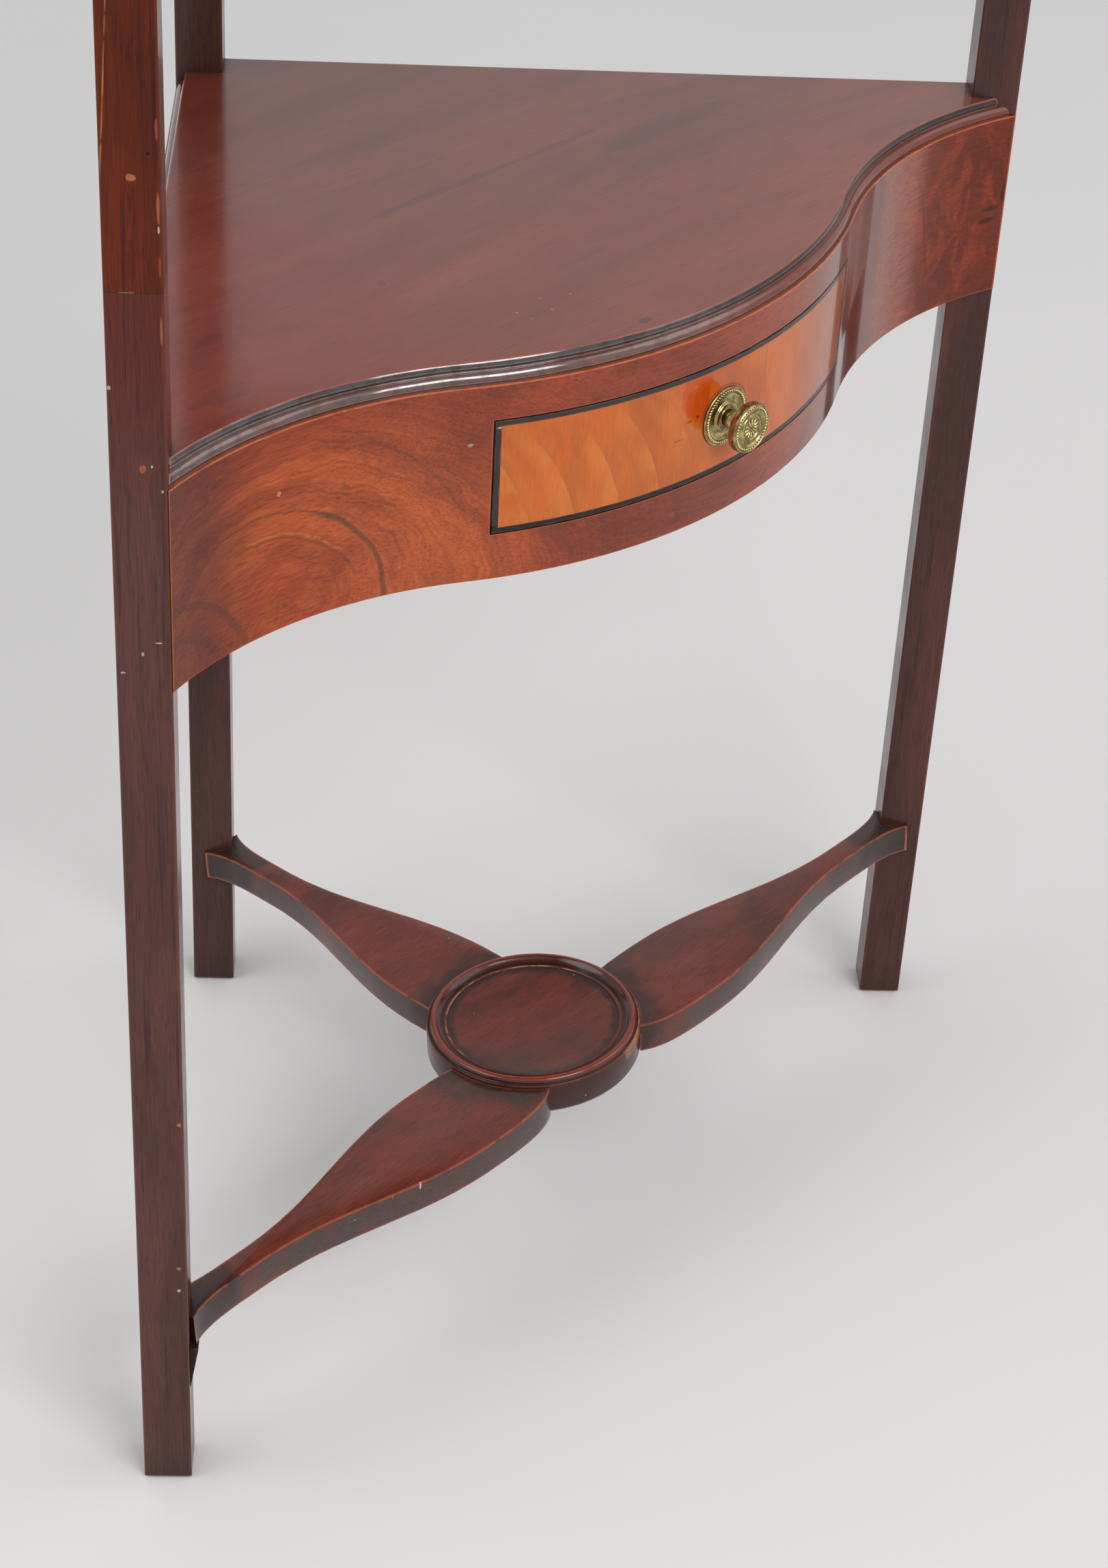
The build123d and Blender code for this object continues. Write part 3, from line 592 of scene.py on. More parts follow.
def flame_figure(plain, base):
    """Arched flame on the left of the frieze, a feathered one on its right, their dark lines and small marks, painted
    shade at both ends and painted reflection bands on the right.
    """
    flat = seen_from_front(plain)

    bent, drawn = (seen_from_front(pushed(flat, scale, 3.0, 0.55, amount))
                   for scale, amount in ((26.0, 0.026), (34.0, 0.007)))

    def arches(vector, centre, reach):
        away = vector_of("DIVIDE", vector_of("SUBTRACT", vector, centre), reach)
        parts = split(away)
        return vector_of("LENGTH", away), sum_of("ARCTAN2", parts["X"], parts["Z"])

    def bands(ring, turn, period, turns):
        return clouds(vector_from(times(ring, period), times(turn, turns), 0.1), 1.0, 3.5, 0.6)

    def with_lines(base, centre, reach, lines):
        """Lines along one set of arches, each by its tone, ring, half width, first and last turn and share."""
        ring, turn = arches(drawn, centre, reach)
        for tone, at, half, first, last, share in lines:
            near = between(apart(ring, at), half, half * 0.3)
            inside = times(between(turn, first - 0.12, first + 0.12), between(turn, last + 0.12, last - 0.12))
            base = cover(base, times(near, inside), share, tone)
        return base

    ring, turn = arches(bent, (-0.228, 0.0, 0.492), (0.075, 1.0, 0.055))
    broad, hairs = bands(ring, turn, 4.2, 0.6), bands(ring, turn, 40.0, 1.2)
    base = cover(base, between(ring, 2.2, 0.7), 0.34, hue("flame"))
    halo = times(between(ring, 1.9, 1.2), between(ring, 0.5, 0.95))
    lit = times(between(broad, 0.34, 0.62), halo)
    base = cover(base, lit, 0.6, hue("flame"))
    hair_tone = blend(between(hairs, 0.3, 0.68), (0.7, 0.62, 0.58, 1), (1.16, 1.14, 1.1, 1))
    base = blend(times(between(ring, 3.6, 1.6), 0.6), base, hair_tone, "MULTIPLY")
    dark = times(between(broad, 0.46, 0.34), between(ring, 2.4, 1.4))
    base = cover(base, dark, 0.22, paint(92, 40, 26))
    heart = times(patches(bent, 46.0, 0.46, 0.6), between(ring, 0.95, 0.5))
    base = cover(base, heart, 0.45, paint(146, 50, 26))
    green = paint(80, 56, 36)
    base = with_lines(base, (-0.237, 0.0, 0.487), (0.0672, 1.0, 0.063), [
        (green, 1.0, 0.03, 0.5, 1.6, 0.7), (green, 1.01, 0.014, -0.5, 0.7, 0.5),
        (paint(196, 118, 62), 0.84, 0.016, -0.1, 0.9, 0.4), (green, 0.81, 0.016, -0.3, 1.2, 0.35),
        (green, 1.62, 0.016, 0.35, 1.2, 0.35),
    ])
    base = with_lines(base, (-0.3, 0.0, 0.47), (0.06, 1.0, 0.06), [
        (green, 0.98, 0.05, 0.1, 1.25, 0.5), (green, 0.72, 0.05, 0.1, 1.35, 0.4),
    ])
    feather, twist = arches(bent, (0.262, 0.0, 0.53), (0.05, 1.0, 0.09))
    plumes = bands(feather, twist, 4.5, 1.4)
    right = times(between(plumes, 0.46, 0.62), between(feather, 1.25, 0.5))
    base = cover(base, right, 0.8, paint(196, 74, 32))
    base = with_lines(base, (0.17, 0.0, 0.5), (0.066, 1.0, 0.11), [(paint(70, 40, 28), 1.04, 0.03, 0.6, 1.45, 0.5)])
    ends = split(flat)
    # Painted shade: the right part of the frieze is darkened
    base = cover(base, between(ends["X"], 0.09, 0.18), 0.65, paint(80, 28, 13))
    # Painted reflection: a dark band for the reflected right leg and a pale sheen band for the reflected floor
    for start, end, share, tone in ((0.095, 0.155, 0.5, paint(64, 20, 8)), (0.178, 0.236, 0.3, paint(196, 124, 108))):
        band = times(between(ends["X"], start, start + 0.018), between(ends["X"], end, end - 0.018))
        base = cover(base, band, share, tone)
    # Painted shade: the left end beside the leg is darkened
    shade_near_leg = between(ends["X"], -0.226, -0.274)
    base = cover(base, shade_near_leg, 0.72, paint(78, 32, 26))
    rubbed = between(apart(ends["Z"], ledge_height(sizes().shelf_height)), 0.0009, 0.0004)
    broken = patches(flat, 120.0, 0.36, 0.5)
    base = cover(base, rubbed, times_plus(broken, 0.5, 0.35), paint(216, 118, 66))
    pit, tan, grey = paint(40, 20, 16), paint(204, 138, 92), paint(170, 140, 118)
    return spotted(flat, base, [
        ((-0.2249, 0.0, 0.5587), (0.0013, 1.0, 0.0015), 0.85, tan),
        ((-0.1343, 0.0, 0.5606), (0.0013, 1.0, 0.001), 0.85, grey),
        ((-0.0307, 0.0, 0.4988), (0.0018, 1.0, 0.0016), 0.7, paint(104, 78, 64)),
        ((0.2932, 0.0, 0.546), (0.0035, 1.0, 0.006), 0.7, pit),
        ((0.2851, 0.0, 0.5383), (0.006, 1.0, 0.0018), 0.6, pit),
        ((0.2824, 0.0, 0.5318), (0.006, 1.0, 0.0018), 0.7, pit),
    ])


def ripple_figure(plain, base):
    """Wavy light and dark stripes standing across the drawer's golden veneer."""
    flat = seen_from_front(plain)
    parts = split(flat)
    rise = minus(parts["Z"], sizes().knob_height)
    bend = times_plus(times(rise, rise), 5.5, parts["X"])
    run = vector_from(x=times_plus(rise, 0.5, bend), z=rise)
    lean = mapped(run, scale=(1.0, 1.0, 0.3))
    waves = clouds(lean, 38.0, 2.5, 0.5, 0.9)
    base = cover(base, between(waves, 0.42, 0.66), 0.35, paint(208, 114, 44))
    base = cover(base, between(waves, 0.48, 0.34), 0.3, paint(166, 76, 36))
    ripple = add("ShaderNodeTexWave", {"Vector": lean, "Scale": 13.66, "Distortion": 1.3, "Detail": 2.0,
                                       "Detail Scale": 2.0, "Phase Offset": 0.82}, wave_type="BANDS",
                 bands_direction="X", wave_profile="SAW").outputs["Fac"]
    shown = times(between(parts["X"], -0.01, -0.045), patches(flat, 40.0, 0.34, 0.62, detail=2.0, roughness=0.5))
    shown = times(shown, between(rise, 0.026, 0.008))
    lit = times(between(ripple, 0.3, 1.0), shown)
    base = cover(base, lit, 0.5, paint(218, 130, 52))
    shaded = times(between(ripple, 0.3, 0.0), shown)
    base = cover(base, shaded, 0.3, paint(156, 80, 42))
    # Painted shade: the right part of the drawer is darkened
    base = cover(base, between(parts["X"], 0.03, 0.11), 0.5, paint(122, 58, 34))
    patch = mark(flat, (-0.019, 0.0, 0.5605), (0.0105, 1.0, 0.0185), ragged=1.3, rag_size=0.012)
    base = cover(base, patch, 0.7, paint(186, 62, 12))
    from_knob = vector_of("LENGTH", vector_of("SUBTRACT", flat, (0.0, 0.0, sizes().knob_height)))
    ring = times(between(apart(from_knob, 0.0162), 0.0008, 0.0003), between(rise, -0.004, 0.008))
    base = cover(base, ring, 0.55, paint(92, 46, 30))
    hole, grey = paint(60, 26, 14), paint(150, 120, 96)
    return spotted(flat, base, [
        ((-0.0228, 0.0, 0.543), (0.0012, 1.0, 0.0011), 0.8, grey),
        ((-0.0242, 0.0, 0.5465), (0.002, 1.0, 0.0006), 0.7, hole),
        ((-0.019, 0.0, 0.5475), (0.0009, 1.0, 0.001), 0.8, hole),
        ((-0.03, 0.0, 0.5385), (0.004, 1.0, 0.0004), 0.5, hole),
        ((0.03, 0.0, 0.558), (0.0004, 1.0, 0.013), 0.35, hole),
    ])


def stringing_chips(plain, base):
    """Pale chips along the upper and left lines, and the slit along the lower one painted black as painted shadow."""
    flat = seen_from_front(plain)
    foot, top = (corner.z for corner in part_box("drawer_front_veneer"))
    # Painted shadow: the slit under the lower line is painted near black
    gap_shadow = between(split(flat)["Z"], foot + 0.0014, foot + 0.0008)
    base = cover(base, gap_shadow, 0.95, paint(10, 7, 6))
    pale = paint(198, 196, 194)
    return spotted(flat, base, [
        ((-0.1215, 0.0, top - 0.0007), (0.0026, 1.0, 0.0005), 0.9, pale),
        ((-0.112, 0.0, top - 0.0006), (0.004, 1.0, 0.0004), 0.85, pale),
        ((-0.103, 0.0, top - 0.0007), (0.0014, 1.0, 0.0004), 0.8, pale),
        ((-0.086, 0.0, top - 0.0008), (0.0008, 1.0, 0.0008), 0.9, pale),
        ((-0.07, 0.0, top - 0.0006), (0.0016, 1.0, 0.0003), 0.6, pale),
        ((-0.1262, 0.0, 0.547), (0.0006, 1.0, 0.002), 0.8, pale),
        ((0.045, 0.0, top - 0.0006), (0.003, 1.0, 0.0005), 0.5, pale),
    ], ragged=1.4)


def make_veneer_finishes():
    wood("frieze_veneer", hue("frieze"), extra=flame_figure, fibre=0.0011, fibre_length=16.0, figure=0.04,
         figure_length=3.0, bright=0.08, dull=0.2, coat=0.6, sheen=0.15, wear=0.6, occlusion_reach=0.004,
         polish=duller_ends, polish_depth=-0.42)
    wood("drawer_veneer", hue("drawer"), extra=ripple_figure, turn=along_z, fibre=0.001, fibre_length=10.0,
         figure=0.03, figure_length=2.0, bright=0.08, dull=0.18, coat=0.5, contrast=0.4, pores=0.12,
         occlusion_reach=0.002, grime=0.6, specks=0.2, wear=0.3)
    wood("stringing", hue("stringing"), extra=stringing_chips, fibre=0.0006, wear=0.3, specks=0.0,
         worn=paint(104, 84, 74), coat=0.4, bright=0.2, dull=0.4, contrast=0.5, grime=0.3, relief=0.1)


def rubbed_arris_and_shaded_sides(plain, base):
    """Red rubbed upper arrises over sides painted darker and greyer: their dark finish with painted shade and
    reflection.
    """
    rise = rise_of()
    # Sides picked by which way they face: painted shade and reflection over their dark finish
    side = times(between(rise, 0.5, 0.1), between(clouds(plain, 40.0), 0.2, 0.55))
    base = cover(base, side, 0.85, paint(66, 60, 59))
    arris = times(between(rise, 0.3, 0.5), between(rise, 0.97, 0.86))
    uneven = patches(plain, 70.0, 0.3, 0.52, detail=4.0, roughness=0.65)
    arris = times(arris, times_plus(uneven, 0.7, 0.25))
    return cover(base, arris, 0.85, paint(166, 58, 32))


def from_dish(plain):
    """Distance from the dish's centre, seen from above."""
    away = vector_of("SUBTRACT", plain, (0.0, stretcher_place().translation.y, 0.0))
    return vector_of("LENGTH", vector_of("MULTIPLY", away, (1.0, 1.0, 0.0)))


def arm_figure(plain, base):
    """Redder wood along each arm's middle, and dark wax with painted shade where the arms meet the dish and the legs.
    """
    warm = patches(plain, 30.0, 0.42, 0.62, detail=4.0)
    base = cover(base, warm, 0.5, paint(124, 46, 30))
    base = rubbed_arris_and_shaded_sides(plain, base)
    # Dark wax and painted shade where the arms meet the dish and the legs
    sway = times_plus(clouds(plain, 60.0, 3.0, 0.6), 0.03, from_dish(plain))
    base = cover(base, between(sway, 0.096, 0.078), 0.8, paint(46, 36, 32))
    s = sizes()
    inner = s.wall_length - s.leg_section
    black, glue = paint(38, 32, 30), paint(150, 136, 120)
    spots = []
    for a, b in ((inner, s.leg_section), (s.leg_section, inner), (s.leg_section, s.leg_section)):
        place = plan(a, b, 0.108)
        spots.append((tuple(place), (0.032, 0.032, 0.05), 0.75, black))
        spots.append(((place.x, place.y - 0.003, 0.11), (0.009, 0.009, 0.05), 0.9, paint(50, 38, 34)))
        spots.append(((place.x + 0.002, place.y - 0.006, 0.112), (0.003, 0.003, 0.001), 0.5, glue))
    spots += [((-0.1385, -0.1344, 0.112), (0.0008, 0.0008, 0.004), 0.9, paint(214, 200, 190)),
              ((-0.1552, -0.131, 0.112), (0.0012, 0.0005, 0.004), 0.6, paint(190, 160, 140))]
    return spotted(plain, base, spots, ragged=0.8)


def dish_figure(plain, base):
    """Red rubbed bead between dark grooves, a pale worn fillet inside it, dark wax with painted shade round the floor,
    and painted shade on the side.
    """
    radius = from_dish(plain)
    warm = patches(plain, 34.0, 0.42, 0.62, detail=4.0)
    base = cover(base, warm, 0.4, paint(124, 42, 24))
    rag = clouds(plain, 120.0, 4.0, 0.65)
    uneven = between(rag, 0.3, 0.52)

    def band(middle, half):
        return between(apart(radius, middle), half, half * 0.5)

    # Dark wax and painted shade in the angle round the floor
    wax = times(between(times_plus(rag, 0.008, radius), 0.047, 0.0505), between(radius, 0.0486, 0.048))
    # Painted shade: the upright side is darkened over its dark finish
    side = between(rise_of(), 0.4, 0.05)
    parts = split(plain)
    back = between(minus(parts["Y"], stretcher_place().translation.y), -0.005, 0.02)
    patchy = between(rag, 0.44, 0.58)
    fillet = times(band(0.0489, 0.0006), times(back, patchy))
    front_right = mark(plain, tuple(stretcher_place().translation + Vector((0.034, -0.047, 0.0))),
                       (0.03, 0.022, 0.02), ragged=1.0, rag_size=0.012)
    lip = times(band(0.0594, 0.001), times(front_right, uneven))
    for mask, share, tone in (
            (wax, 0.85, paint(44, 34, 30)), (band(0.054, 0.0042), 0.75, paint(62, 30, 26)),
            (band(0.056, 0.0016), 0.75, paint(148, 54, 28)), (band(0.0508, 0.0011), 0.9, paint(30, 18, 16)),
            (fillet, 0.8, paint(180, 126, 80)), (band(0.0583, 0.0007), 0.9, paint(32, 22, 19)),
            (side, 0.8, paint(46, 34, 32)), (lip, 0.75, paint(184, 122, 78))):
        base = cover(base, mask, share, tone)
    return base


def bead_polish(plain):
    """The dish's rolled bead, which handling keeps glossy."""
    return between(apart(from_dish(plain), 0.0552), 0.0034, 0.0026)


def make_stretcher_finishes():
    shared = dict(fibre=0.001, fibre_length=14.0, figure=0.035, figure_length=3.0, wear_radius=0.0022, bright=0.22,
                  dull=0.42)
    wood("stretcher_mahogany", hue("stretcher"), extra=arm_figure, wear=0.38, grime=1.1, occlusion_reach=0.012, coat=0.5,
         **shared)
    wood("dish_mahogany", shade(hue("stretcher"), 0.88), extra=dish_figure, polish=bead_polish, polish_depth=0.5,
         wear=0.12, grime=0.9, occlusion_reach=0.007, coat=0.35, sheen=0.15, **shared)


def make_hidden_finishes():
    pine = hue("softwood")
    plain = dict(coat=0.0, bright=0.55, dull=0.75, worn=paint(200, 164, 118), grime=0.7)
    wood("softwood", pine, fibre=0.0016, fibre_length=20.0, **plain)
    wood("frieze_core", shade(pine, 0.85), fibre=0.0016, fibre_length=20.0, **plain)
    wood("drawer_lining", paint(158, 122, 80), fibre=0.0012, fibre_length=18.0, turn=(0.0, 0.0, quarter), **plain)
    wood("hardwood", paint(150, 110, 70), fibre=0.001, fibre_length=12.0, **plain)


def make_brass_finishes():
    """Old brass on the turned parts, and brighter on their raised rope rings and rosette."""
    colour = hue("brass")
    brass("brass", paint(132, 114, 72), shade(colour, 0.74), 0.9)
    brass("brass_rubbed", colour, shade(colour, 1.3), 0.55)


def brass(name, dull, bright, dirt_share):
    """Brass, bright where it is handled and brown in the hollows."""
    shader = new_material(name)
    plain = plain_vector()
    stain = clouds(plain, 260.0, 4.0, 0.6)
    base = blend(between(stain, 0.35, 0.7), dull, bright)
    dirt_and_shade = use_group("Grime in angles", {"Vector": plain, "Reach": 0.002, "Amount": 1.9})["Mask"]
    base = cover(base, dirt_and_shade, dirt_share, paint(62, 44, 24))
    rubbed = use_group("Rubbed edges", {"Vector": plain, "Radius": 0.0005, "Cover": 0.65})["Mask"]
    base = cover(base, rubbed, 0.6, paint(244, 226, 152))
    rough = times_plus(dirt_and_shade, 0.3, times_plus(stain, 0.12, 0.14))
    bump = add("ShaderNodeBump", {"Strength": 0.12, "Distance": 0.00005, "Height": stain})
    join(shader, {"Base Color": base, "Roughness": rough, "Normal": bump.outputs["Normal"]})
    shader.inputs["Metallic"].default_value = 1.0


# Mesh helpers

def put(name, data):
    """New object in the scene."""
    thing = bpy.data.objects.new(name, data)
    bpy.context.scene.collection.objects.link(thing)
    return thing


def new_piece(name, mesh, material, body, replaced=()):
    """Gives a finished mesh its finish and its CAD body."""
    piece = put(name, mesh)
    mesh.materials.clear()
    mesh.materials.append(bpy.data.materials[material])
    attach(piece, body)
    if replaced:
        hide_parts(*replaced)
    return piece


def mesh_of(name, shape):
    """Turns the shape's faces outwards and makes a mesh of it."""
    bmesh.ops.recalc_face_normals(shape, faces=shape.faces)
    mesh = bpy.data.meshes.new(name)
    shape.to_mesh(mesh)
    shape.free()
    return mesh


def evaluated_mesh(name, holder):
    """Mesh of an object with its modifiers applied; the object itself goes."""
    mesh = bpy.data.meshes.new_from_object(holder.evaluated_get(bpy.context.evaluated_depsgraph_get()))
    mesh.name = name
    bpy.data.objects.remove(holder)
    return mesh


def bridge(shape, lower, upper):
    """Faces between two closed rows of corners; a row of one corner is a point."""
    steps = max(len(lower), len(upper))
    for step in range(steps):
        after = (step + 1) % steps
        corners = list(dict.fromkeys([lower[step % len(lower)], lower[after % len(lower)],
                                      upper[after % len(upper)], upper[step % len(upper)]]))
        if len(corners) > 2:
            shape.faces.new(corners)


def smooth(mesh, degrees):
    mesh.shade_smooth()
    mesh.set_sharp_from_angle(angle=math.radians(degrees))


def lathe(name, profile, place, steps):
    """Closed turned solid: the profile runs from axis to axis as (radius, height) pairs."""
    shape = bmesh.new()
    rings = []
    for radius, height in profile:
        angles = [0.0] if radius < 1e-7 else [2 * math.pi * step / steps for step in range(steps)]
        rings.append([shape.verts.new(place @ Vector((radius * math.cos(angle), radius * math.sin(angle), height)))
                      for angle in angles])
    for lower, upper in zip(rings, rings[1:]):
        bridge(shape, lower, upper)
    return mesh_of(name, shape)


def flowing(points, steps):
    """Smooth line through the points of a profile."""
    line = []
    ends = [points[0], *points, points[-1]]
    for before, start, end, after in zip(ends, ends[1:], ends[2:], ends[3:]):
        for step in range(steps):
            t = step / steps
            line.append(tuple(
                0.5 * (2 * s + (e - b) * t + (2 * b - 5 * s + 4 * e - a) * t * t + (3 * s - b - 3 * e + a) * t ** 3)
                for b, s, e, a in zip(before, start, end, after)))
    return [*line, points[-1]]


# Plan of the stand

def corner_y():
    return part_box("gallery_left")[1].y


def plan(a, b, z=0.0):
    """Point a along the left wall and b along the right wall, at height z."""
    return Vector(((b - a) / math.sqrt(2), corner_y() - (a + b) / math.sqrt(2), z))


class Front:
    """Serpentine front: a bow between two hollows."""

    def __init__(self):
        s = sizes()
        self.bow, self.hollow = s.bow_radius, s.hollow_radius
        self.bow_place = s.bow_depth - s.bow_radius
        self.end = ((s.wall_length - s.leg_section) / math.sqrt(2), (s.wall_length + s.leg_section) / math.sqrt(2))
        across, along = self.end[0], self.end[1] - self.bow_place
        span = math.hypot(across, along)
        reach = self.bow + self.hollow
        foot = (reach ** 2 - self.hollow ** 2 + span ** 2) / (2 * span)
        rise = math.sqrt(reach ** 2 - foot ** 2)
        self.hollow_x = (foot * across - rise * along) / span
        self.hollow_depth = self.bow_place + (foot * along + rise * across) / span
        self.touch = math.atan2(self.hollow_depth - self.bow_place, self.hollow_x)

    def depth(self, x, inset):
        bow, hollow = self.bow - inset, self.hollow + inset
        if abs(x) < bow * math.cos(self.touch):
            return self.bow_place + math.sqrt(bow ** 2 - x ** 2)
        return self.hollow_depth - math.sqrt(hollow ** 2 - (abs(x) - self.hollow_x) ** 2)

    def leg_x(self, inset, leg_section):
        """Where the front, moved back by inset, meets the right leg's inner face."""
        rise = leg_section * math.sqrt(2)
        half = (self.hollow_x - (rise - self.hollow_depth)) / 2
        rest = (self.hollow_x ** 2 + (rise - self.hollow_depth) ** 2 - (self.hollow + inset) ** 2) / 2
        spread = math.sqrt(half ** 2 - rest)
        return min((half - spread, half + spread), key=lambda x: abs(x - self.end[0]))


def ledge_height(board_height):
    return board_height - sizes().shoulder_height - sizes().bead_height


def moulding_rows(height, thickness):
    """Profile of the moulded edge from foot to face: inset from the veneered face, height and part."""
    s = sizes()
    ledge, quirk = ledge_height(height), s.bead_inset + s.bead_width
    rows = [
        (s.veneer_thickness, height - thickness, "side"), (s.veneer_thickness, ledge - 0.0003, "ledge"),
        (s.bead_inset + 0.0003, ledge + 0.0001, "ledge"),
    ]
    bead_steps = 13
    for step in range(1, bead_steps + 1):
        angle = quarter * step / bead_steps
        rows.append((s.bead_inset + s.bead_width * (1 - math.cos(angle)), ledge + s.bead_height * math.sin(angle),
                     "bead"))
    wall = [
        (0.35, 0.02), (0.48, 0.08), (0.46, 0.26), (0.36, 0.42), (0.36, 0.52), (0.42, 0.62), (0.54, 0.74),
        (0.69, 0.85), (0.85, 0.94),
    ]
    for share, rise in flowing(wall, steps=2):
        rows.append((quirk + share * (s.moulding_width - quirk), height - s.shoulder_height * (1 - rise), "cove"))
    rows += [(s.moulding_width, height, "arris"), (s.moulding_width + 0.0004, height, "arris")]
    return rows


def board_row(front, inset, z, steps=120):
    """One outline of the shelf: its notched back and sides, then the serpentine front."""
    s = sizes()
    end_x = front.leg_x(inset, s.leg_section)
    inner = s.wall_length - s.leg_section
    side = max(0.0, inset - s.veneer_thickness)
    corners = [
        (inner, s.leg_section), (inner, side), (s.leg_section, side), (s.leg_section, s.leg_section),
        (side, s.leg_section), (side, inner), (s.leg_section, inner),
    ]
    row = [plan(a, b, z) for a, b in corners]
    for step in range(steps + 1):
        x = end_x * (1 - 2 * step / steps)
        row.append(Vector((x, corner_y() - front.depth(x, inset), z)))
    return row


class WASHSTAND_OT_shelf(bpy.types.Operator):
    """Builds the shelf board with its worn bead and cove"""

    bl_idname = "washstand.shelf"
    bl_label = "Moulded shelf"

    def execute(self, context):
        s = sizes()
        wear_height, wear_scale, arris = 0.00016, 70, 0.0004
        front = Front()
        shape = bmesh.new()
        rows = []
        layers = {name: shape.verts.layers.float.new(name) for name in ("bead", "cove", "ledge", "arris")}
        profile = moulding_rows(s.shelf_height, s.shelf_thickness)
        for inset, z, part in profile:
            row = []
            for point in board_row(front, inset, z):
                rubbed = point.copy()
                if part in ("bead", "cove"):
                    rubbed.z += wear_height * noise.noise(point * wear_scale)
                corner = shape.verts.new(rubbed)
                for name, layer in layers.items():
                    corner[layer] = 1.0 if name == part else 0.0
                row.append(corner)
            rows.append(row)
        rows.append([shape.verts.new(point) for point in board_row(front, profile[-1][0] + arris, s.shelf_height)])
        for lower, upper in zip(rows, rows[1:]):
            bridge(shape, lower, upper)
        for flat in (rows[0], rows[-1]):
            for corners in geometry.tessellate_polygon([[Vector((c.co.x, c.co.y, 0.0)) for c in flat]]):
                shape.faces.new([flat[index] for index in corners])
        mesh = mesh_of("shelf_moulded", shape)
        smooth(mesh, degrees=40.0)
        new_piece("shelf_moulded", mesh, "shelf_mahogany", "stand", ["shelf_board"])
        self.lower_veneer(s)
        return {"FINISHED"}

    def lower_veneer(self, s):
        """Copy of the frieze's veneer whose upper edge ends where this board's bead starts."""
        mesh = frame["nodes"]["frieze_veneer"].data.copy()
        mesh.name = "frieze_skin"
        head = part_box("frieze_veneer")[1].z
        for corner in mesh.vertices:
            if corner.co.z > head - 0.0001:
                corner.co.z = ledge_height(s.shelf_height)
        new_piece("frieze_skin", mesh, "frieze_veneer", "stand", ["frieze_veneer"])


# Stretcher

# Heights of the arms' upper faces at the legs; the stretcher stands out of level
left_end, right_end, back_end = 0.106, 0.129, 0.1


def stretcher_place():
    """Matrix of the plane of the arms' upper faces, with its origin under the dish."""
    s = sizes()
    inner = s.wall_length - s.leg_section
    left, right = plan(inner, s.leg_section, left_end), plan(s.leg_section, inner, right_end)
    back = plan(s.leg_section, s.leg_section, back_end)
    across = (right - left).normalized()
    normal = across.cross(back - left).normalized()
    centre = Vector((0, corner_y() - s.dish_depth, 0))
    centre.z = (left - centre).dot(normal) / normal.z
    place = Matrix((across, normal.cross(across), normal)).transposed().to_4x4()
    place.translation = centre
    return place


class WASHSTAND_OT_dish(bpy.types.Operator):
    """Turns the dish in the middle of the stretcher"""

    bl_idname = "washstand.dish"
    bl_label = "Turned dish"

    def execute(self, context):
        s = sizes()
        floor, foot = 0.0006, -s.arm_thickness
        rim_width, rim_height = 0.012, 0.0041

        def rim(width, height):
            return s.dish_radius - width * rim_width, floor + height * rim_height

        roll = flowing([rim(0.72, 0.3), rim(0.58, 0.56), rim(0.46, 0.9), rim(0.35, 1), rim(0.24, 0.86),
                        rim(0.18, 0.55), rim(0.16, 0.28)], steps=4)
        lip = flowing([rim(0.13, 0.2), rim(0.06, 0.26), rim(0.015, 0.16), rim(0, -0.15)], steps=4)
        profile = [(0.0, floor), rim(1.04, 0), rim(1, 0.05), rim(0.98, 0.2), rim(0.88, 0.22), rim(0.8, 0.16), *roll,
                   *lip, (s.dish_radius, foot + 0.003), (s.dish_radius - 0.001, foot + 0.001),
                   (s.dish_radius - 0.003, foot), (0.0, foot)]
        mesh = lathe("dish_turned", profile, stretcher_place(), steps=160)
        smooth(mesh, degrees=38.0)
        new_piece("dish_turned", mesh, "dish_mahogany", "stand", ["stretcher_dish"])
        return {"FINISHED"}


def softened(name, node, width):
    """Copy of an arm's CAD node with its seams merged and its arrises rounded."""
    shape = bmesh.new()
    shape.from_mesh(frame["nodes"][node].data)
    bmesh.ops.remove_doubles(shape, verts=shape.verts, dist=1e-6)
    bmesh.ops.dissolve_limit(shape, angle_limit=math.radians(0.6), verts=shape.verts, edges=shape.edges)
    piece = put(name + "_sharp", mesh_of(name, shape))
    rounding = piece.modifiers.new("arris", "BEVEL")
    rounding.width = width
    rounding.segments = 3
    rounding.limit_method = "ANGLE"
    rounding.angle_limit = math.radians(40)
    rounding.use_clamp_overlap = True
    rounded = evaluated_mesh(name, piece)
    smooth(rounded, degrees=50.0)
    new_piece(name, rounded, "stretcher_mahogany", "stand", [node])


class WASHSTAND_OT_arms(bpy.types.Operator):
    """Rounds the arrises of the stretcher's three leaf arms"""

    bl_idname = "washstand.arms"
    bl_label = "Leaf arms"

    def execute(self, context):
        for side in ("back", "left", "right"):
            softened("arm_" + side, "stretcher_arm_" + side, sizes().arris_width)
        return {"FINISHED"}


# Knob

def knob_place():
    """Matrix that stands the knob's axis out of the bow's crown."""
    s = sizes()
    return Matrix.Translation((0, corner_y() - s.bow_depth, s.knob_height)) @ Matrix.Rotation(quarter, 4, "X")


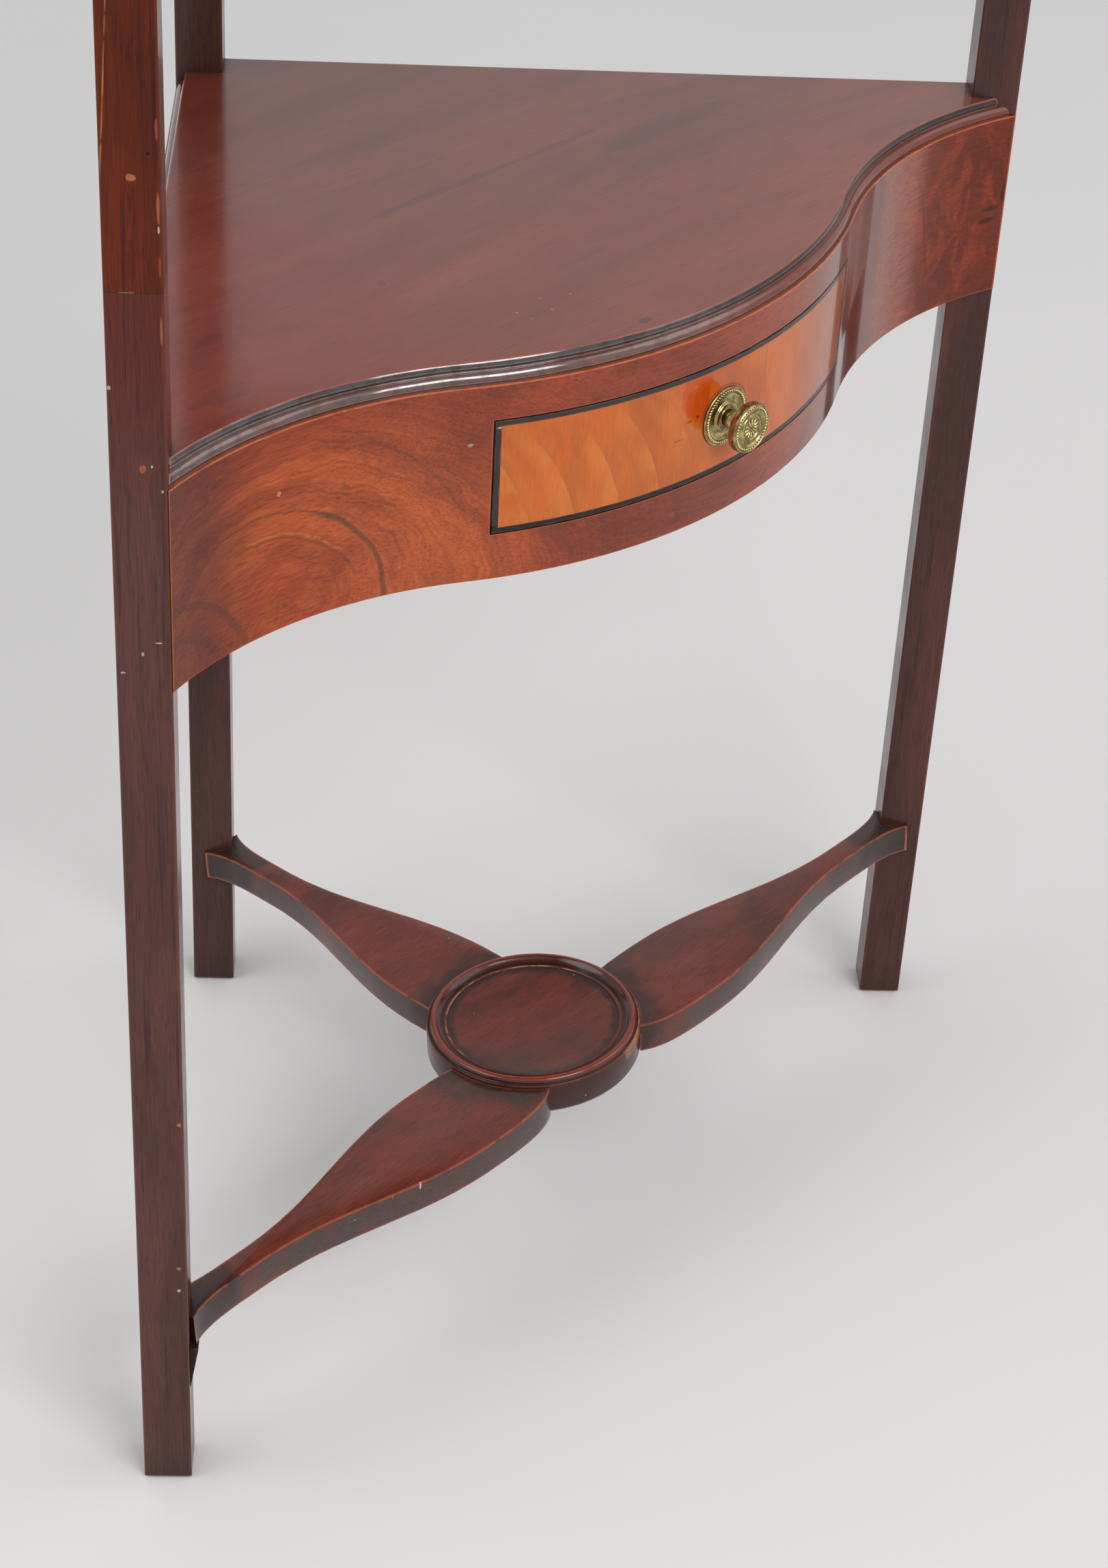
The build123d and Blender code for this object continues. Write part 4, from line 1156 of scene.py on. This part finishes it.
def ring_tree():
    """Geometry nodes that set a bead round a ring, each turned by the same twist."""
    tree = Bench.tree = bpy.data.node_groups.new("Beads round a ring", "GeometryNodeTree")
    tree.interface.new_socket("Geometry", in_out="OUTPUT", socket_type="NodeSocketGeometry")
    for label, kind in (("Geometry", "Geometry"), ("Count", "Int"), ("Ring Radius", "Float"), ("Height", "Float"),
                        ("Bead Size", "Vector"), ("Twist", "Float"), ("Material", "Material")):
        tree.interface.new_socket(label, in_out="INPUT", socket_type="NodeSocket" + kind)
    start = add("NodeGroupInput").outputs

    def moved(geometry, **how):
        return add("GeometryNodeTransform", {"Geometry": geometry, **how}).outputs["Geometry"]

    circle = add("GeometryNodeMeshCircle", {"Vertices": start["Count"], "Radius": start["Ring Radius"]})
    bead = add("GeometryNodeMeshUVSphere", {"Segments": 8, "Rings": 6, "Radius": 1.0})
    sized = moved(bead.outputs["Mesh"], Scale=start["Bead Size"])
    twisted = moved(sized, Rotation=vector_from(z=start["Twist"]))
    place = add("GeometryNodeInputPosition")
    outward = add("FunctionNodeAlignRotationToVector", {"Vector": place.outputs[0]}, axis="X", pivot_axis="Z")
    beads = add("GeometryNodeInstanceOnPoints", {"Points": circle.outputs["Mesh"], "Instance": twisted,
                                                 "Rotation": outward.outputs[0]})
    raised = moved(beads.outputs["Instances"], Translation=vector_from(z=start["Height"]))
    real = add("GeometryNodeRealizeInstances", {"Geometry": raised})
    finish = add("GeometryNodeSetMaterial", {"Geometry": real.outputs["Geometry"], "Material": start["Material"]})
    add("NodeGroupOutput", {"Geometry": finish.outputs["Geometry"]})
    return tree


def ring_of_beads(name, tree, values, place):
    """Evaluates the ring tree with its values and returns a plain mesh set in place."""
    holder = put(name + "_holder", bpy.data.meshes.new(name + "_holder"))
    modifier = holder.modifiers.new("ring", "NODES")
    modifier.node_group = tree
    for item in tree.interface.items_tree:
        if item.item_type == "SOCKET" and item.in_out == "INPUT" and item.name in values:
            modifier[item.identifier] = values[item.name]
    mesh = evaluated_mesh(name, holder)
    mesh.transform(place)
    mesh.shade_smooth()
    return mesh


class WASHSTAND_OT_knob(bpy.types.Operator):
    """Builds the brass knob and its back plate with their rope rings and rosette"""

    bl_idname = "washstand.knob"
    bl_label = "Brass knob"

    def execute(self, context):
        s = sizes()
        place, mm = knob_place(), 0.001
        plate = [
            (0, 0), (14.6, 0), (15, 0.25), (15, 0.7), (14.7, 1.0), (14.2, 1.1), (13.8, 0.95), (13.6, 0.8),
            (12.2, 0.8), (12.0, 1.0), (11.7, 1.15), (11.3, 1.1), (10.4, 0.72), (9.2, 0.52), (8.4, 0.55), (8.0, 0.8),
            (7.8, 1.3), (7.5, 1.75), (7.0, 2.05), (6.5, 2.1), (6.1, 1.9), (5.9, 1.5), (5.6, 1.35), (5.2, 1.5),
            (4.9, 1.9), (4.6, 2.2), (4.2, 2.3), (0, 2.3),
        ]
        ball = [(4.6 * math.cos(math.radians(step)), 4.7 + 4.6 * math.sin(math.radians(step)))
                for step in range(-56, 57, 8)]
        head = [(0, -21.5), (2.5, -21.5), (2.5, 0.9), *ball, (2.75, 8.9), (2.9, 9.5), (3.5, 10.5), (4.8, 11.4),
                (7.0, 12.0), (10.0, 12.3), (11.6, 12.5), (12.2, 12.9), (12.5, 13.5), (12.5, 15.9), (12.4, 16.6),
                (12.1, 17.2), (11.7, 17.5), (11.35, 17.3), (11.2, 16.95), (9.9, 16.95), (9.7, 17.2), (9.35, 17.35),
                (9.0, 17.15), (8.7, 16.7), (8.0, 16.4), (7.2, 16.45), (6.9, 16.8), (6.6, 17.1), (6.2, 17.15),
                (5.85, 16.85), (5.6, 16.5), (4.9, 16.45), (3.6, 16.6), (1.8, 16.9), (1.4, 17.2), (0.8, 17.5),
                (0, 17.55)]
        for name, profile, replaced in (("knob_plate", plate, "knob_backplate"), ("knob_turned", head, "knob")):
            mesh = lathe(name, [(radius * mm, height * mm) for radius, height in profile], place, steps=96)
            smooth(mesh, degrees=50.0)
            new_piece(name, mesh, "brass", "drawer", [replaced])
        tree = ring_tree()
        rings = [
            ("plate_rope", s.plate_ropes, 12.9, 0.85, (1.05, 0.5, 0.75), 0.6),
            ("head_rope", s.head_ropes, 10.55, 16.95, (0.85, 0.52, 0.56), 0.6),
            ("head_rosette", s.petals, 3.3, 16.62, (1.75, 0.5, 0.7), 0.0),
        ]
        for name, count, radius, height, bead, twist in rings:
            mesh = ring_of_beads(name, tree, {
                "Count": count, "Ring Radius": radius * mm, "Height": height * mm, "Twist": twist,
                "Bead Size": tuple(size * mm for size in bead), "Material": bpy.data.materials["brass_rubbed"]}, place)
            new_piece(name, mesh, "brass_rubbed", "drawer")
        return {"FINISHED"}


# Finishes on the CAD nodes

class WASHSTAND_OT_finishes(bpy.types.Operator):
    """Makes every finish and gives each CAD node the one of its slot"""

    bl_idname = "washstand.finishes"
    bl_label = "Finishes"

    def execute(self, context):
        for plain_colour in list(bpy.data.materials):
            bpy.data.materials.remove(plain_colour)
        for make in (make_grain_group, make_edge_group, make_grime_and_shade_group, make_specks_group, make_mark_group,
                     make_haze_group, make_leg_finishes, make_shelf_finishes, make_veneer_finishes,
                     make_stretcher_finishes, make_hidden_finishes, make_brass_finishes):
            make()
        for row in frame["record"]["subparts"]:
            material = bpy.data.materials.get(row["material_slot"])
            if material is None:
                raise RuntimeError("no finish for slot " + row["material_slot"])
            mesh = frame["nodes"][row["node"]].data
            mesh.materials.clear()
            mesh.materials.append(material)
        return {"FINISHED"}


# Stage

lamps = [
    ("window_left", (-2.4, 1.2, 2.8), (2.4, 2.4), 30.0),
    ("softbox_right", (1.8, -1.9, 2.3), (2.2, 2.2), 12.5),
    ("softbox_front", (-0.65, -2.68, 2.5), (1.9, 1.3), 46.0),
]
lamp_aim = Vector((0.0, 0.0, 0.45))
camera_place = (-1.0787, -1.0479, 1.2902)
camera_heading, camera_dip, camera_roll = -48.39, 34.97, 3.214


class WASHSTAND_OT_stage(bpy.types.Operator):
    """Sets the pale paper floor, soft studio light and the camera"""

    bl_idname = "washstand.stage"
    bl_label = "Stage"

    def execute(self, context):
        scene = context.scene
        shape = bmesh.new()
        bmesh.ops.create_grid(shape, x_segments=2, y_segments=2, size=12.0)
        mesh = bpy.data.meshes.new("paper_floor")
        shape.to_mesh(mesh)
        shape.free()
        shader = new_material("background_paper")
        mottle = clouds(plain_vector(), 1.3, 3.0, 0.5)
        tone = blend(mottle, shade(hue("paper"), 0.96), shade(hue("paper"), 1.03))
        join(shader, {"Base Color": tone, "Roughness": 0.9})
        mesh.materials.append(bpy.data.materials["background_paper"])
        floor = put("paper_floor", mesh)
        world = bpy.data.worlds.new("studio")
        world.use_nodes = True
        sky = world.node_tree.nodes["Background"].inputs
        sky["Color"].default_value = (0.93, 0.94, 0.95, 1.0)
        sky["Strength"].default_value = 0.62
        scene.world = world
        for name, place, spread, power in lamps:
            lamp = bpy.data.lights.new(name, "AREA")
            lamp.shape = "RECTANGLE"
            lamp.size, lamp.size_y = spread
            lamp.energy = power
            holder = put(name, lamp)
            holder.location = place
            holder.rotation_euler = (lamp_aim - Vector(place)).to_track_quat("-Z", "Y").to_euler()
        camera = bpy.data.cameras.new("view")
        camera.lens = 76.12
        camera.sensor_width = 36.0
        camera.sensor_fit = "AUTO"
        camera.dof.use_dof = False
        camera.clip_end = 60.0
        place = Matrix.Translation(camera_place)
        for angle, axis in ((camera_heading, "Z"), (90 - camera_dip, "X"), (camera_roll, "Z")):
            place = place @ Matrix.Rotation(math.radians(angle), 4, axis)
        scene.camera = put("view", camera)
        scene.camera.matrix_world = place
        scene.view_settings.view_transform = "Standard"
        return {"FINISHED"}


class WASHSTAND_PT_panel(bpy.types.Panel):
    """Panel that lists the washstand's pieces"""

    bl_idname = "WASHSTAND_PT_panel"
    bl_label = "Corner washstand"
    bl_space_type = "VIEW_3D"
    bl_region_type = "UI"
    bl_category = "Washstand"

    def draw(self, context):
        for group in (context.scene.washstand_sizes, context.scene.washstand_colours):
            box = self.layout.box()
            for name in group.__annotations__:
                box.prop(group, name)
        for operator in operators:
            self.layout.operator(operator.bl_idname)


operators = (WASHSTAND_OT_finishes, WASHSTAND_OT_shelf, WASHSTAND_OT_dish, WASHSTAND_OT_arms, WASHSTAND_OT_knob,
             WASHSTAND_OT_stage)
classes = (WashstandSizes, WashstandColours, *operators, WASHSTAND_PT_panel)


def register():
    for one in classes:
        bpy.utils.register_class(one)
    bpy.types.Scene.washstand_sizes = bpy.props.PointerProperty(type=WashstandSizes)
    bpy.types.Scene.washstand_colours = bpy.props.PointerProperty(type=WashstandColours)


def unregister():
    del bpy.types.Scene.washstand_colours
    del bpy.types.Scene.washstand_sizes
    for one in reversed(classes):
        bpy.utils.unregister_class(one)


def main():
    register()
    bpy.ops.washstand.finishes()
    bpy.ops.washstand.shelf()
    bpy.ops.washstand.dish()
    bpy.ops.washstand.arms()
    bpy.ops.washstand.knob()
    bpy.ops.washstand.stage()


if __name__ == "__main__":
    main()
